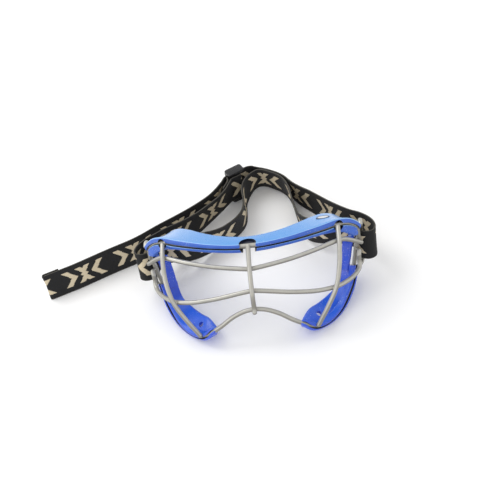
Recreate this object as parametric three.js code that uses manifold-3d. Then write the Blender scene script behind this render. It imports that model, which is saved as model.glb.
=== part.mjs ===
// Women's lacrosse goggles: a welded wire cage in a silicone gasket, held by a looped elastic strap.
// Millimetres, +Z up. The goggles are laid out as they are worn, front towards -Y, and then lean back
// on the surface they rest on. The strap stands on its edge behind them.
import * as THREE from "three";
import { mergeVertices } from "three/addons/utils/BufferGeometryUtils.js";
import Module from "manifold-3d";

const wasm = await Module();
wasm.setup();

// Frame: the box that the cage's shares are taken of
const frameHalfWidth = 80;
const frameDepth = 50;
const frameHeight = 80;
const leanBack = THREE.MathUtils.degToRad(38);

// Wire
const wireDiameter = 3.5;
const weldGap = 0.35;
const wireStep = 3.6;
const crossingSlant = THREE.MathUtils.degToRad(22);

// Silicone gasket
const gripClearance = 0.45;
const grooveOpening = 1.6;
const lipReach = 3.2;
const lipCorner = 0.9;
const grooveWall = 0.6;
const browLip = 4.6;
const browLowerLip = 2.6;
const browEndBlock = 7.2;
const browWall = 3.2;
const cheekOuterLip = 2.2;
const cheekInnerLip = 2.4;
const cheekWall = 2.6;
const gripWeb = 1.6;
const bandInset = 4.4;
const seamGap = 0.35;
const centreNotchRadius = 6.4;
const sideNotchRadius = 4.6;
const notchDepth = 9;
const ventHoleRadius = 2.2;
const cutOverrun = 6;

// Badge on the brow
const badgeLength = 11.5;
const badgeWidth = 6.5;
const badgeThickness = 0.8;
const badgeInset = 0.5;
const badgeClearance = 0.35;
const badgeRow = 4.9;
const badgeAcrossShare = 0.62;
const badgeReach = 0.3;

// Strap
const strapWidth = 25.4;
const strapThickness = 1.4;
const layerGap = 0.35;
const strapDepth = 100;
const strapStep = 6.8;
const strapLean = THREE.MathUtils.degToRad(14);
const strapTip = THREE.MathUtils.degToRad(13);
const strapBend = THREE.MathUtils.degToRad(14);
const tailFoldLength = 12;
const tailFoldGap = 1;
const sewnLapStops = 2;
const sewnLapGap = 1;

// Slider
const sliderLength = 16.5;
const sliderBarDiameter = 2.2;
const sliderRailHeight = 3;
const sliderEdgeClearance = 0.5;
const sliderSlack = 1.5;
const sliderRim = 0.7;
const sliderCorner = 2;
const sliderTurn = THREE.MathUtils.degToRad(30);

// The strap spans the cage from bar to bar
const strapSpreadShare = 1.25;
const strapSpread = strapSpreadShare * frameHalfWidth;

const wirePitch = wireDiameter + weldGap;
const wireSides = 10;
const roundSides = 20;
const turnSteps = 6;
const grooveSides = 8;
const stepsPerStop = 24;

// Cage: places as shares of the frame's half width, depth and height, from the brow's middle
// round the right temple and cheek to the middle of the nose arch.
const rimWireShares = [
  [0, 0.14, 0.903],
  [0.163, 0.158, 0.908],
  [0.313, 0.196, 0.921],
  [0.463, 0.26, 0.937],
  [0.6, 0.326, 0.956],
  [0.713, 0.396, 0.974],
  [0.825, 0.496, 0.99],
  [0.938, 0.63, 0.979],
  [1.016, 0.74, 0.92],
  [1.023, 0.786, 0.838],
  [0.998, 0.824, 0.763],
  [0.979, 0.89, 0.65],
  [0.955, 0.95, 0.535],
  [0.925, 0.92, 0.413],
  [0.875, 0.83, 0.3],
  [0.788, 0.7, 0.179],
  [0.675, 0.54, 0.095],
  [0.569, 0.4, 0.066],
  [0.488, 0.308, 0.075],
  [0.434, 0.246, 0.11],
  [0.338, 0.166, 0.168],
  [0.214, 0.1, 0.252],
  [0.1, 0.068, 0.3],
  [0, 0.06, 0.314],
];
const browEndRow = 8.15;
const blockStartRow = 7.9;
const blockEndRow = 8.75;
const bandStartRow = 8.95;
const bandEndRow = 12.4;
const cheekStartRow = 11.9;
const cheekEndRow = 19;
const stationsPerRow = 3;
const sideNotchRow = 6;
const ventHoleRow = 16.5;

// The gasket's edge against the face, one row for each row of the rim that carries silicone
const faceEdgeShares = [
  [0, 0.3, 0.981],
  [0.15, 0.32, 0.991],
  [0.313, 0.39, 1.015],
  [0.475, 0.54, 1.05],
  [0.6, 0.72, 1.079],
  [0.719, 0.87, 1.09],
  [0.825, 0.99, 1.056],
  [0.894, 1.05, 0.988],
  [0.913, 1.08, 0.906],
  [0.9, 1.09, 0.825],
  [0.881, 1.1, 0.75],
  [0.858, 1.116, 0.65],
  [0.838, 1.12, 0.538],
  [0.821, 1.11, 0.438],
  [0.79, 1.1, 0.345],
  [0.681, 0.94, 0.27],
  [0.575, 0.74, 0.225],
  [0.475, 0.56, 0.191],
  [0.406, 0.45, 0.106],
  [0.392, 0.36, 0.085],
];

// The lower lip of the brow deepens into a block at each end, and its upper lip gets thinner there
const browBlockShares = [0.25, 0.24, 0.18, 0.1, 0.03, 0.05, 0.35, 0.85, 1, 1];
const browLipShares = [0.76, 0.78, 0.84, 0.92, 0.98, 1, 0.98, 0.82, 0.64, 0.6];

// How much of the wall behind the groove is left at a cheek pad's tip and up from there
const tipShares = [0.35, 0.8, 1];
const tipRows = 0.9;

// Uprights lie on the cage's front. Cross wires follow the same front and pass behind them.
const upperCrossShares = [
  [0, -0.034, 0.694],
  [0.07, -0.03, 0.7],
  [0.375, 0.036, 0.744],
  [0.625, 0.126, 0.798],
  [0.835, 0.276, 0.846],
  [0.925, 0.44, 0.846],
];
const upperCrossEndRow = 9.45;
const lowerCrossShares = [
  [0, -0.066, 0.493],
  [0.08, -0.062, 0.485],
  [0.375, -0.006, 0.44],
  [0.6, 0.062, 0.422],
  [0.769, 0.15, 0.43],
  [0.871, 0.34, 0.437],
  [1, 0.6, 0.485],
  [1.058, 0.77, 0.545],
  [1.062, 0.82, 0.61],
  [1.05, 0.838, 0.665],
];
const lowerCrossEndRow = 10.4;
const wireEndLength = 2.4;
const uprightEndLength = 2;
const sideUprightShares = [
  [0.835, 0.276, 0.836],
  [0.816, 0.164, 0.644],
  [0.769, 0.15, 0.444],
  [0.68, 0.19, 0.268],
];
const sideUprightTopRow = 5.85;
const sideUprightEndRow = 17.4;
const centreUprightShares = [
  [0, -0.034, 0.694],
  [0, -0.066, 0.493],
];

// Strap bar: a bent rod outboard of the rim that the strap loops round
const strapBarShares = [
  [1.056, 0.776, 0.95],
  [1.056, 0.82, 0.981],
  [1.056, 0.89, 0.981],
  [1.056, 0.916, 0.9375],
  [1.056, 1.026, 0.784],
  [1.056, 1.128, 0.641],
  [1.053, 1.13, 0.594],
  [1.036, 1.07, 0.556],
  [1.004, 1, 0.53],
];
const strapBarMiddleRow = 4;

// Strap: one strip from its sewn end, round the left bar, across the inside, round the right bar and
// back through the slider to its tail. Each stop is a share of the strap's spread, of its depth behind
// the strap bars, of the rise to the bars' height, of the lean there, of the lift to the slider, and
// of the tip of the upper edge to the right of the strip's way.
const leftLegShares = [
  [-0.24, 0.925, 0, 0, 1, -0.5],
  [-0.285, 0.855, 0, 0, 0.8, -0.9],
  [-0.342, 0.786, 0, 0, 0.5, -1],
  [-0.432, 0.684, 0.04, 0.03, 0.2, -0.8],
  [-0.538, 0.552, 0.15, 0.12, 0, -0.5],
  [-0.638, 0.42, 0.35, 0.34, 0, -0.2],
  [-0.74, 0.3, 0.6, 0.6, 0, 0],
  [-0.81, 0.205, 0.8, 0.8, 0, 0],
];
const leftLoopShares = [
  [-0.885, 0.118, 0.93, 0.95, 0, 0],
  [-0.935, 0.045, 1, 1, 0, 0],
  [-0.952, -0.02, 1.03, 1, 0, 0],
  [-0.938, -0.06, 1.05, 1, 0, 0],
  [-0.902, -0.078, 1.06, 1, 0, 0],
  [-0.856, -0.07, 1.05, 1, 0, 0],
  [-0.821, -0.041, 1.03, 1, 0, 0],
  [-0.807, 0.01, 1, 1, 0, 0],
  [-0.8, 0.075, 0.92, 1, 0, 0],
  [-0.768, 0.128, 0.84, 0.9, 0, 0],
];
const leftInnerShares = [
  [-0.695, 0.153, 0.75, 0.8, 0, 0],
  [-0.61, 0.172, 0.6, 0.62, 0, 0],
  [-0.52, 0.232, 0.36, 0.4, 0, 0.1],
  [-0.425, 0.31, 0.12, 0.12, 0, 0.3],
  [-0.305, 0.39, 0, 0, 0, 0.6],
];
const waistShares = [
  [-0.195, 0.485, 0, 0, 0, 0.7],
  [-0.14, 0.565, 0, 0, 0, 0.5],
  [-0.115, 0.65, 0, 0, 0, 0.2],
  [-0.114, 0.74, 0, 0, 0, 0],
  [-0.122, 0.82, 0, 0, 0, -0.2],
];
const archShares = [
  [-0.12, 0.9, 0, 0, 0, -0.1],
  [-0.103, 0.965, 0.02, 0, 0, 0],
  [-0.072, 1.027, 0.04, 0, 0, 0.3],
  [-0.034, 1.072, 0.06, 0, 0, 0.7],
  [0.012, 1.1, 0.06, 0, 0, 0.9],
  [0.068, 1.09, 0.06, 0, 0, 0.9],
  [0.123, 1.058, 0.05, 0, 0, 0.8],
  [0.19, 1.01, 0.04, 0, 0, 0.7],
  [0.243, 0.953, 0.02, 0, 0, 0.6],
  [0.278, 0.88, 0, 0, 0, 0.5],
];
const rightInnerShares = [
  [0.303, 0.79, 0, 0, 0, 0.4],
  [0.32, 0.68, 0, 0, 0, 0.5],
  [0.343, 0.55, 0.03, 0, 0, 0.5],
  [0.378, 0.41, 0.13, 0.08, 0, 0.4],
  [0.443, 0.297, 0.35, 0.28, 0, 0.2],
  [0.54, 0.226, 0.56, 0.5, 0, 0],
  [0.64, 0.19, 0.7, 0.7, 0, 0],
];
const rightLoopShares = [
  [0.725, 0.15, 0.8, 0.85, 0, 0],
  [0.783, 0.1, 0.88, 0.95, 0, 0],
  [0.801, 0.055, 0.95, 1, 0, 0],
  [0.807, 0.008, 1, 1, 0, 0],
  [0.821, -0.041, 1.03, 1, 0, 0],
  [0.856, -0.07, 1.05, 1, 0, 0],
  [0.902, -0.078, 1.06, 1, 0, 0],
  [0.938, -0.06, 1.05, 1, 0, 0],
  [0.954, -0.02, 1.03, 1, 0, 0],
  [0.95, 0.035, 1, 1, 0, 0],
  [0.92, 0.107, 0.93, 0.95, 0, 0],
];
const rightLegShares = [
  [0.86, 0.19, 0.82, 0.8, 0, 0],
  [0.785, 0.27, 0.66, 0.66, 0, 0],
  [0.705, 0.375, 0.47, 0.47, 0, 0],
  [0.626, 0.49, 0.28, 0.28, 0, 0],
  [0.545, 0.61, 0.12, 0.12, 0, 0],
  [0.465, 0.715, 0.03, 0.03, 0, 0],
  [0.39, 0.795, 0, 0, 0, -0.2],
  [0.335, 0.86, 0, 0, 0, -0.4],
  [0.3, 0.912, 0, 0, 0, -0.5],
  [0.262, 0.972, 0, 0, 0, -0.6],
  [0.206, 1.031, 0, 0, 0, -0.7],
  [0.135, 1.083, 0, 0, 0.03, -0.8],
  [0.077, 1.115, 0, 0, 0.12, -0.9],
  [0.01, 1.13, 0, 0, 0.3, -0.9],
  [-0.045, 1.124, 0, 0, 0.6, -0.7],
  [-0.082, 1.106, 0, 0, 0.9, -0.3],
];
const tailShares = [
  [-0.31, 0.935, 0, 0, 0.95, -0.3],
  [-0.36, 0.853, 0, 0.1, 0.75, -0.2],
  [-0.42, 0.779, 0, 0.3, 0.45, -0.1],
  [-0.54, 0.679, 0, 0.5, 0.15, 0],
  [-0.7, 0.569, 0, 0.7, 0, 0],
  [-0.85, 0.474, 0, 0.7, 0, 0],
  [-1.04, 0.344, 0, 0.7, 0, 0],
  [-1.27, 0.234, 0, 0.7, 0, 0],
  [-1.55, 0.095, 0, 0.7, 0, 0],
  [-1.765, 0.004, 0, 0.7, 0, 0],
];
const sliderPlaceShares = [-0.19, 1.04];

// The folded tail: stops before its end and back along it, as shares of the fold's length
const tailStraightShares = [1.2, 0.6];
const tailFoldShares = [0, 0.3, 0.65, 1];

// Colours from the photograph
const steelLook = { color: 0xbebab0, metalness: 0.85, roughness: 0.38 };
const siliconeLook = { color: 0x2f6fd8, metalness: 0, roughness: 0.28 };
const webbingLook = { color: 0x16161a, metalness: 0, roughness: 0.9 };
const plasticLook = { color: 0x0e0e10, metalness: 0, roughness: 0.35 };
const badgeLook = { color: 0xcfcabc, metalness: 0.3, roughness: 0.4 };

const mirrorX = (p) => new THREE.Vector3(-p.x, p.y, p.z);
const framePoint = ([x, y, z]) => new THREE.Vector3(x * frameHalfWidth, y * frameDepth, z * frameHeight);

function piece(name, geometry, look) {
  const mesh = new THREE.Mesh(geometry, new THREE.MeshStandardMaterial(look));
  mesh.name = name;
  return mesh;
}

function toSolid(geometry) {
  const bare = new THREE.BufferGeometry();
  const flat = geometry.index ? geometry.toNonIndexed() : geometry;
  bare.setAttribute("position", flat.getAttribute("position"));
  const merged = mergeVertices(bare, wireDiameter / 1e4);
  return new wasm.Manifold(
    new wasm.Mesh({
      numProp: 3,
      vertProperties: merged.attributes.position.array,
      triVerts: new Uint32Array(merged.index.array),
    }),
  );
}

function fromSolid(solid) {
  const mesh = solid.getMesh();
  const geometry = new THREE.BufferGeometry();
  geometry.setAttribute("position", new THREE.BufferAttribute(mesh.vertProperties, 3));
  geometry.setIndex(new THREE.BufferAttribute(mesh.triVerts, 1));
  geometry.computeVertexNormals();
  return geometry;
}

// A closed body through a row of sections. Each station has an origin, two axes and an outline.
function loft(stations, closed = false) {
  const count = stations[0].outline.length;
  const positions = [];
  for (const { origin, u, v, outline } of stations) {
    for (const corner of outline) {
      const p = origin.clone().addScaledVector(u, corner.x).addScaledVector(v, corner.y);
      positions.push(p.x, p.y, p.z);
    }
  }
  const triangles = [];
  const spans = closed ? stations.length : stations.length - 1;
  for (let i = 0; i < spans; i++) {
    const here = i * count;
    const next = ((i + 1) % stations.length) * count;
    for (let j = 0; j < count; j++) {
      const k = (j + 1) % count;
      triangles.push(here + j, here + k, next + k);
      triangles.push(here + j, next + k, next + j);
    }
  }
  if (!closed) {
    const last = (stations.length - 1) * count;
    for (const [a, b, c] of THREE.ShapeUtils.triangulateShape(stations[0].outline, [])) {
      triangles.push(c, b, a);
    }
    for (const [a, b, c] of THREE.ShapeUtils.triangulateShape(stations.at(-1).outline, [])) {
      triangles.push(last + a, last + b, last + c);
    }
  }
  const geometry = new THREE.BufferGeometry();
  geometry.setAttribute("position", new THREE.Float32BufferAttribute(positions, 3));
  geometry.setIndex(triangles);
  geometry.computeVertexNormals();
  return geometry;
}

// A round rod along a curve
function rod(points, diameter = wireDiameter) {
  const path = new THREE.CatmullRomCurve3(points, false, "centripetal");
  const circle = new THREE.Shape().absarc(0, 0, diameter / 2, 0, 2 * Math.PI);
  return new THREE.ExtrudeGeometry(circle, {
    extrudePath: path,
    steps: Math.max(2, Math.round(path.getLength() / wireStep)),
    curveSegments: wireSides / 2,
  });
}

// Cage
const rimHalf = rimWireShares.map(framePoint);
const rimLoop = [...rimHalf, ...rimHalf.slice(1, -1).reverse().map(mirrorX)];
const rimCurve = new THREE.CatmullRomCurve3(rimLoop, true, "centripetal");

function perimeterWire() {
  const steps = Math.round(rimCurve.getLength() / wireStep);
  const frames = rimCurve.computeFrenetFrames(steps, true);
  const circle = [];
  for (let j = 0; j < wireSides; j++) {
    const angle = (2 * Math.PI * j) / wireSides;
    circle.push(new THREE.Vector2(Math.cos(angle), Math.sin(angle)).multiplyScalar(wireDiameter / 2));
  }
  const stations = [];
  for (let i = 0; i < steps; i++) {
    stations.push({
      origin: rimCurve.getPointAt(i / steps),
      u: frames.normals[i],
      v: frames.binormals[i],
      outline: circle,
    });
  }
  return loft(stations, true);
}

// A wire that passes behind the uprights. They slant where they cross it, which takes a wider step.
const crossingStep = wirePitch / Math.cos(crossingSlant);

function crossWire(shares, endRow, endLength) {
  const half = shares.map(framePoint);
  const points = [...half.slice(1).reverse().map(mirrorX), ...half];
  const curve = new THREE.CatmullRomCurve3(points, false, "centripetal");
  const behind = points.map((p, i) => {
    const along = curve.getTangent(i / (points.length - 1));
    const inward = new THREE.Vector3(-along.y, along.x, 0).normalize();
    return p.clone().addScaledVector(inward, crossingStep);
  });
  const end = besideRim(endRow, 0);
  const ends = [end];
  if (endLength > 0) {
    const onward = end.clone().sub(behind.at(-1)).normalize();
    ends.push(end.clone().addScaledVector(onward, endLength));
  }
  return rod([...ends.map(mirrorX).reverse(), ...behind, ...ends]);
}

// Silicone: sections across the rim, from the lips in front of the wire back to the face edge
const faceHalf = faceEdgeShares.map(framePoint);
const faceCurve = new THREE.CatmullRomCurve3([mirrorX(faceHalf[1]), ...faceHalf], false, "centripetal");

// A section at a row of the rim: u runs from the wire to the face edge, v outward from the cage, and
// square is the part of u that is square to the wire. u slants along the wire by the stretch.
function rimStation(row) {
  const wire = rimCurve.getPoint(row / rimLoop.length);
  const face = faceCurve.getPoint((row + 1) / faceHalf.length);
  const along = rimCurve.getTangent(row / rimLoop.length);
  const u = face.sub(wire);
  const reach = u.length();
  u.normalize();
  const v = along.clone().cross(u).normalize();
  const square = v.clone().cross(along);
  return { origin: wire, u, v, square, reach, stretch: 1 / square.dot(u) };
}

const gripRadius = wireDiameter / 2 + gripClearance;
const webRadius = gripRadius + gripWeb;

function channelOutline({ reach, stretch }, outerLip, innerLip, wall) {
  const mouth = grooveOpening / 2;
  const mouthAngle = Math.asin(mouth / gripRadius);
  const front = -lipReach * stretch;
  const web = webRadius * stretch;
  const crown = ((mouth + outerLip) * (reach - web)) / (reach - front);
  const shoulder = Math.max(crown, gripRadius + grooveWall);
  const outline = [
    [front, -mouth],
    [front, -mouth - innerLip + lipCorner],
    [front + lipCorner, -mouth - innerLip],
    [gripRadius * stretch, -mouth - innerLip],
    [web, shoulder - wall],
    [reach - wall / 2, -wall],
    [reach, -wall / 2],
    [reach, 0],
    [web, shoulder],
    [front + lipCorner, mouth + outerLip],
    [front, mouth + outerLip - lipCorner],
    [front, mouth],
  ].map(([x, y]) => new THREE.Vector2(x, y));
  for (let i = 0; i <= grooveSides; i++) {
    const angle = Math.PI - mouthAngle - (i / grooveSides) * 2 * (Math.PI - mouthAngle);
    outline.push(new THREE.Vector2(stretch * Math.cos(angle), Math.sin(angle)).multiplyScalar(gripRadius));
  }
  return outline;
}

// A wire's centre laid against the rim: in front of it, or turned inward from there
function besideRim(row, turn) {
  const { origin, square, v } = rimStation(row);
  const forward = -crossingStep * Math.cos(turn);
  return origin.clone().addScaledVector(square, forward).addScaledVector(v, -crossingStep * Math.sin(turn));
}

// Rows from one end of a stretch to the other, evenly spread
function rowsBetween(first, last) {
  const steps = Math.round((last - first) * stationsPerRow);
  return Array.from({ length: steps + 1 }, (_, i) => first + ((last - first) * i) / steps);
}

function rowShare(shares, row) {
  const low = Math.min(Math.floor(row), shares.length - 2);
  return THREE.MathUtils.lerp(shares[low], shares[low + 1], Math.min(row - low, 1));
}

function mirrorStation({ origin, u, v, outline }) {
  return { origin: mirrorX(origin), u: mirrorX(u), v: mirrorX(v), outline };
}

function browGeometry(cutters) {
  const right = rowsBetween(0, browEndRow).map((row) => {
    const station = rimStation(row);
    const upperLip = browLip * rowShare(browLipShares, row);
    const lowerLip = browLowerLip + rowShare(browBlockShares, row) * (browEndBlock - browLowerLip);
    return { ...station, outline: channelOutline(station, upperLip, lowerLip, browWall) };
  });
  const left = right.slice(1).reverse().map(mirrorStation);
  const block = browEndBlockGeometry();
  const moulded = toSolid(loft([...left, ...right])).add(toSolid(block)).add(toSolid(mirrorGeometry(block)));
  return cut(fromSolid(moulded), cutters);
}

// The block inside the wire at the brow's right end, which reaches further down than the lips
function browEndBlockGeometry() {
  const inner = -grooveOpening / 2 - browEndBlock;
  const stations = rowsBetween(blockStartRow, blockEndRow).map((row) => {
    const station = rimStation(row);
    const front = -lipReach * station.stretch;
    const outline = [
      [front, -gripRadius],
      [front, inner + lipCorner],
      [front + lipCorner, inner],
      [webRadius, inner],
      [webRadius, -gripRadius],
    ].map(([x, y]) => new THREE.Vector2(x, y));
    return { ...station, outline };
  });
  return loft(stations);
}

// One cheek pad: the band behind the strap window and the grooved pad under it, moulded together
function cheekGeometry(cutters) {
  const band = rowsBetween(bandStartRow, bandEndRow).map((row) => {
    const station = rimStation(row);
    const outline = [
      [bandInset, -cheekWall],
      [station.reach - cheekWall / 2, -cheekWall],
      [station.reach, -cheekWall / 2],
      [station.reach - cheekWall / 2, 0],
      [bandInset, 0],
      [bandInset - cheekWall / 2, -cheekWall / 2],
    ].map(([x, y]) => new THREE.Vector2(x, y));
    return { ...station, outline };
  });
  const pad = rowsBetween(cheekStartRow, cheekEndRow).map((row) => {
    const station = rimStation(row);
    const left = rowShare(tipShares, ((cheekEndRow - row) / tipRows) * (tipShares.length - 1));
    const web = webRadius * station.stretch;
    const tapered = { ...station, reach: web + (station.reach - web) * left };
    return { ...station, outline: channelOutline(tapered, cheekOuterLip, cheekInnerLip, cheekWall * left) };
  });
  const moulded = toSolid(loft(band)).add(toSolid(loft(pad)));
  return cut(fromSolid(moulded), cutters);
}

function cut(geometry, cutters) {
  let solid = toSolid(geometry);
  for (const cutter of cutters) {
    solid = solid.subtract(toSolid(cutter));
  }
  return fromSolid(solid);
}

// A round plug along a direction, for notches and holes
function plug(centre, direction, radius, length) {
  const geometry = new THREE.CylinderGeometry(radius, radius, length, roundSides);
  const turn = new THREE.Quaternion().setFromUnitVectors(new THREE.Vector3(0, 1, 0), direction);
  return geometry.applyQuaternion(turn).translate(centre.x, centre.y, centre.z);
}

function mirrorGeometry(geometry) {
  const flat = geometry.index ? geometry.toNonIndexed() : geometry.clone();
  const p = flat.getAttribute("position");
  const corners = [];
  for (let i = 0; i < p.count; i += 3) {
    for (const j of [i, i + 2, i + 1]) {
      corners.push(-p.getX(j), p.getY(j), p.getZ(j));
    }
  }
  const mirrored = new THREE.BufferGeometry();
  mirrored.setAttribute("position", new THREE.Float32BufferAttribute(corners, 3));
  mirrored.computeVertexNormals();
  return mirrored;
}

// A place on the brow's top, some of the way from its front edge to the face edge
function browTop(row, acrossShare) {
  const { origin, u, v, reach, stretch } = rimStation(row);
  const front = origin.clone().addScaledVector(u, -lipReach * stretch);
  front.addScaledVector(v, grooveOpening / 2 + browLip * rowShare(browLipShares, row));
  return front.lerp(origin.clone().addScaledVector(u, reach), acrossShare);
}

// The badge is an oval plate let into the brow's top. Its pocket is the plate with a clearance round it.
function badgePlate(clearance, depth) {
  const middle = browTop(badgeRow, badgeAcrossShare);
  const across = browTop(badgeRow, 1).sub(browTop(badgeRow, 0)).normalize();
  const onward = browTop(badgeRow + badgeReach, badgeAcrossShare);
  const long = onward.sub(browTop(badgeRow - badgeReach, badgeAcrossShare)).normalize();
  const up = long.clone().cross(across).normalize();
  across.copy(up).cross(long);
  const oval = new THREE.Shape();
  oval.absellipse(0, 0, badgeLength / 2 + clearance, badgeWidth / 2 + clearance, 0, 2 * Math.PI);
  const plate = new THREE.ExtrudeGeometry(oval, { depth, bevelEnabled: false, curveSegments: roundSides / 2 });
  middle.addScaledVector(up, -badgeInset - clearance);
  return plate.applyMatrix4(new THREE.Matrix4().makeBasis(long, across, up).setPosition(middle));
}

const diagonal = Math.PI / 4;
const noseFront = rimHalf.at(-1).clone().setY(rimHalf.at(-1).y - wirePitch);
const sideUpright = [
  besideRim(sideUprightTopRow, 0),
  ...sideUprightShares.map(framePoint),
  besideRim(sideUprightEndRow, diagonal),
];
const centreUpright = [
  besideRim(0, 0),
  ...centreUprightShares.map(framePoint),
  noseFront,
  noseFront.clone().setZ(noseFront.z - uprightEndLength),
];
const strapBar = strapBarShares.map(framePoint);
const clearRod = wireDiameter + 2 * gripClearance;

function notch(station, radius) {
  const centre = station.origin.clone().addScaledVector(station.square, (wireDiameter - notchDepth) / 2);
  return plug(centre, station.square, radius, notchDepth);
}

// The middle notch also bites into the brow's top
function bite(station, radius) {
  const centre = station.origin.clone().addScaledVector(station.square, -lipReach);
  return plug(centre.addScaledVector(station.v, notchDepth / 2), station.v, radius, notchDepth);
}

const goggles = new THREE.Group();
goggles.add(piece("perimeter_wire", perimeterWire(), steelLook));
goggles.add(piece("upper_cross_wire", crossWire(upperCrossShares, upperCrossEndRow, wireEndLength), steelLook));
goggles.add(piece("lower_cross_wire", crossWire(lowerCrossShares, lowerCrossEndRow, 0), steelLook));
goggles.add(piece("center_upright", rod(centreUpright), steelLook));
goggles.add(piece("right_upright", rod(sideUpright), steelLook));
goggles.add(piece("left_upright", rod(sideUpright.map(mirrorX)), steelLook));
goggles.add(piece("right_strap_bar", rod(strapBar), steelLook));
goggles.add(piece("left_strap_bar", rod(strapBar.map(mirrorX)), steelLook));

const sideNotch = notch(rimStation(sideNotchRow), sideNotchRadius);
const barClearance = rod(strapBar, clearRod);
const uprightClearance = rod(sideUpright, clearRod);
const browCutters = [
  notch(rimStation(0), centreNotchRadius),
  bite(rimStation(0), centreNotchRadius),
  sideNotch,
  mirrorGeometry(sideNotch),
  barClearance,
  mirrorGeometry(barClearance),
  uprightClearance,
  mirrorGeometry(uprightClearance),
  badgePlate(badgeClearance, cutOverrun),
];
goggles.add(piece("brow_pad", browGeometry(browCutters), siliconeLook));

const holeStation = rimStation(ventHoleRow);
const hole = plug(
  holeStation.origin.clone().addScaledVector(holeStation.u, holeStation.reach / 2),
  holeStation.v,
  ventHoleRadius,
  cutOverrun + cheekWall,
);
const cheek = cheekGeometry([hole, barClearance, uprightClearance]);
goggles.add(piece("right_cheek_pad", cheek, siliconeLook));
goggles.add(piece("left_cheek_pad", mirrorGeometry(cheek), siliconeLook));
goggles.add(piece("brow_badge", badgePlate(0, badgeThickness), badgeLook));

goggles.rotation.x = -leanBack;
goggles.updateMatrixWorld(true);
goggles.position.z = -new THREE.Box3().setFromObject(goggles, true).min.z;
goggles.updateMatrixWorld(true);

// Strap
const anchor = goggles.localToWorld(framePoint(strapBarShares[strapBarMiddleRow]));
const standing = strapWidth / 2;
const rise = anchor.z - standing;
const lift = sliderRailHeight + sliderEdgeClearance;

function strapStop([x, y, riseShare, leanShare, liftShare, tipShare]) {
  const height = standing + riseShare * rise + liftShare * lift;
  return {
    place: new THREE.Vector3(x * strapSpread, anchor.y + y * strapDepth, height),
    lean: leanShare * strapLean,
    tip: tipShare * strapTip,
  };
}

// Places in the slider, along the strip that runs through it and outward from that
const sliderCentre = new THREE.Vector3(
  sliderPlaceShares[0] * strapSpread,
  anchor.y + sliderPlaceShares[1] * strapDepth,
  standing + lift,
);
const sliderAlong = new THREE.Vector3(Math.cos(sliderTurn), Math.sin(sliderTurn), 0);
const sliderOut = new THREE.Vector3(-Math.sin(sliderTurn), Math.cos(sliderTurn), 0);
const layer = strapThickness + layerGap;
const barOffset = layer - strapThickness / 2 + sliderBarDiameter / 2;
const sewnBarOut = -(barOffset + layer);

function sliderStop(along, out) {
  const place = sliderCentre.clone().addScaledVector(sliderAlong, along).addScaledVector(sliderOut, out);
  return { place, lean: 0, tip: 0 };
}

// The sewn end turns round the slider's middle bar and lies back against the left leg
function sewnEndStops(firstLeg) {
  const turn = [];
  for (let i = 0; i <= turnSteps; i++) {
    const angle = Math.PI / 2 - (Math.PI * i) / turnSteps;
    const along = sliderSlack + barOffset * Math.cos(angle);
    turn.push(sliderStop(along, sewnBarOut + barOffset * Math.sin(angle)));
  }
  const beside = firstLeg.map(({ place, lean, tip }, i) => {
    const next = firstLeg[i + 1] ?? firstLeg[i];
    const from = firstLeg[i + 1] ? place : firstLeg[i - 1].place;
    const along = next.place.clone().sub(from).setZ(0).normalize();
    const side = new THREE.Vector3(along.y, -along.x, 0);
    return { place: place.clone().addScaledVector(side, strapThickness + sewnLapGap), lean, tip: -tip };
  });
  const entry = sliderStop(-sliderLength / 2, sewnBarOut + barOffset);
  const exit = sliderStop(-sliderLength / 2 + sliderSlack, sewnBarOut - barOffset);
  return { lap: [...beside.reverse(), entry, ...turn], exit };
}

// The tail's end is straight and folds back on itself
function foldedEnd(last, previous) {
  const along = last.place.clone().sub(previous.place).normalize();
  const side = new THREE.Vector3(along.y, -along.x, 0).normalize();
  const at = (place) => ({ ...last, place });
  const fold = [];
  const radius = (layer + layerGap / 2) / 2;
  for (let i = 0; i <= turnSteps; i++) {
    const angle = Math.PI / 2 - (Math.PI * i) / turnSteps;
    const place = last.place.clone().addScaledVector(along, tailFoldGap + radius * Math.cos(angle));
    fold.push(at(place.addScaledVector(side, radius - radius * Math.sin(angle))));
  }
  const before = (share) => last.place.clone().addScaledVector(along, -share * tailFoldLength);
  fold.push(...tailFoldShares.map((share) => at(before(share).addScaledVector(side, 2 * radius))));
  return { straight: tailStraightShares.map((share) => at(before(share))), fold };
}

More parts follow.
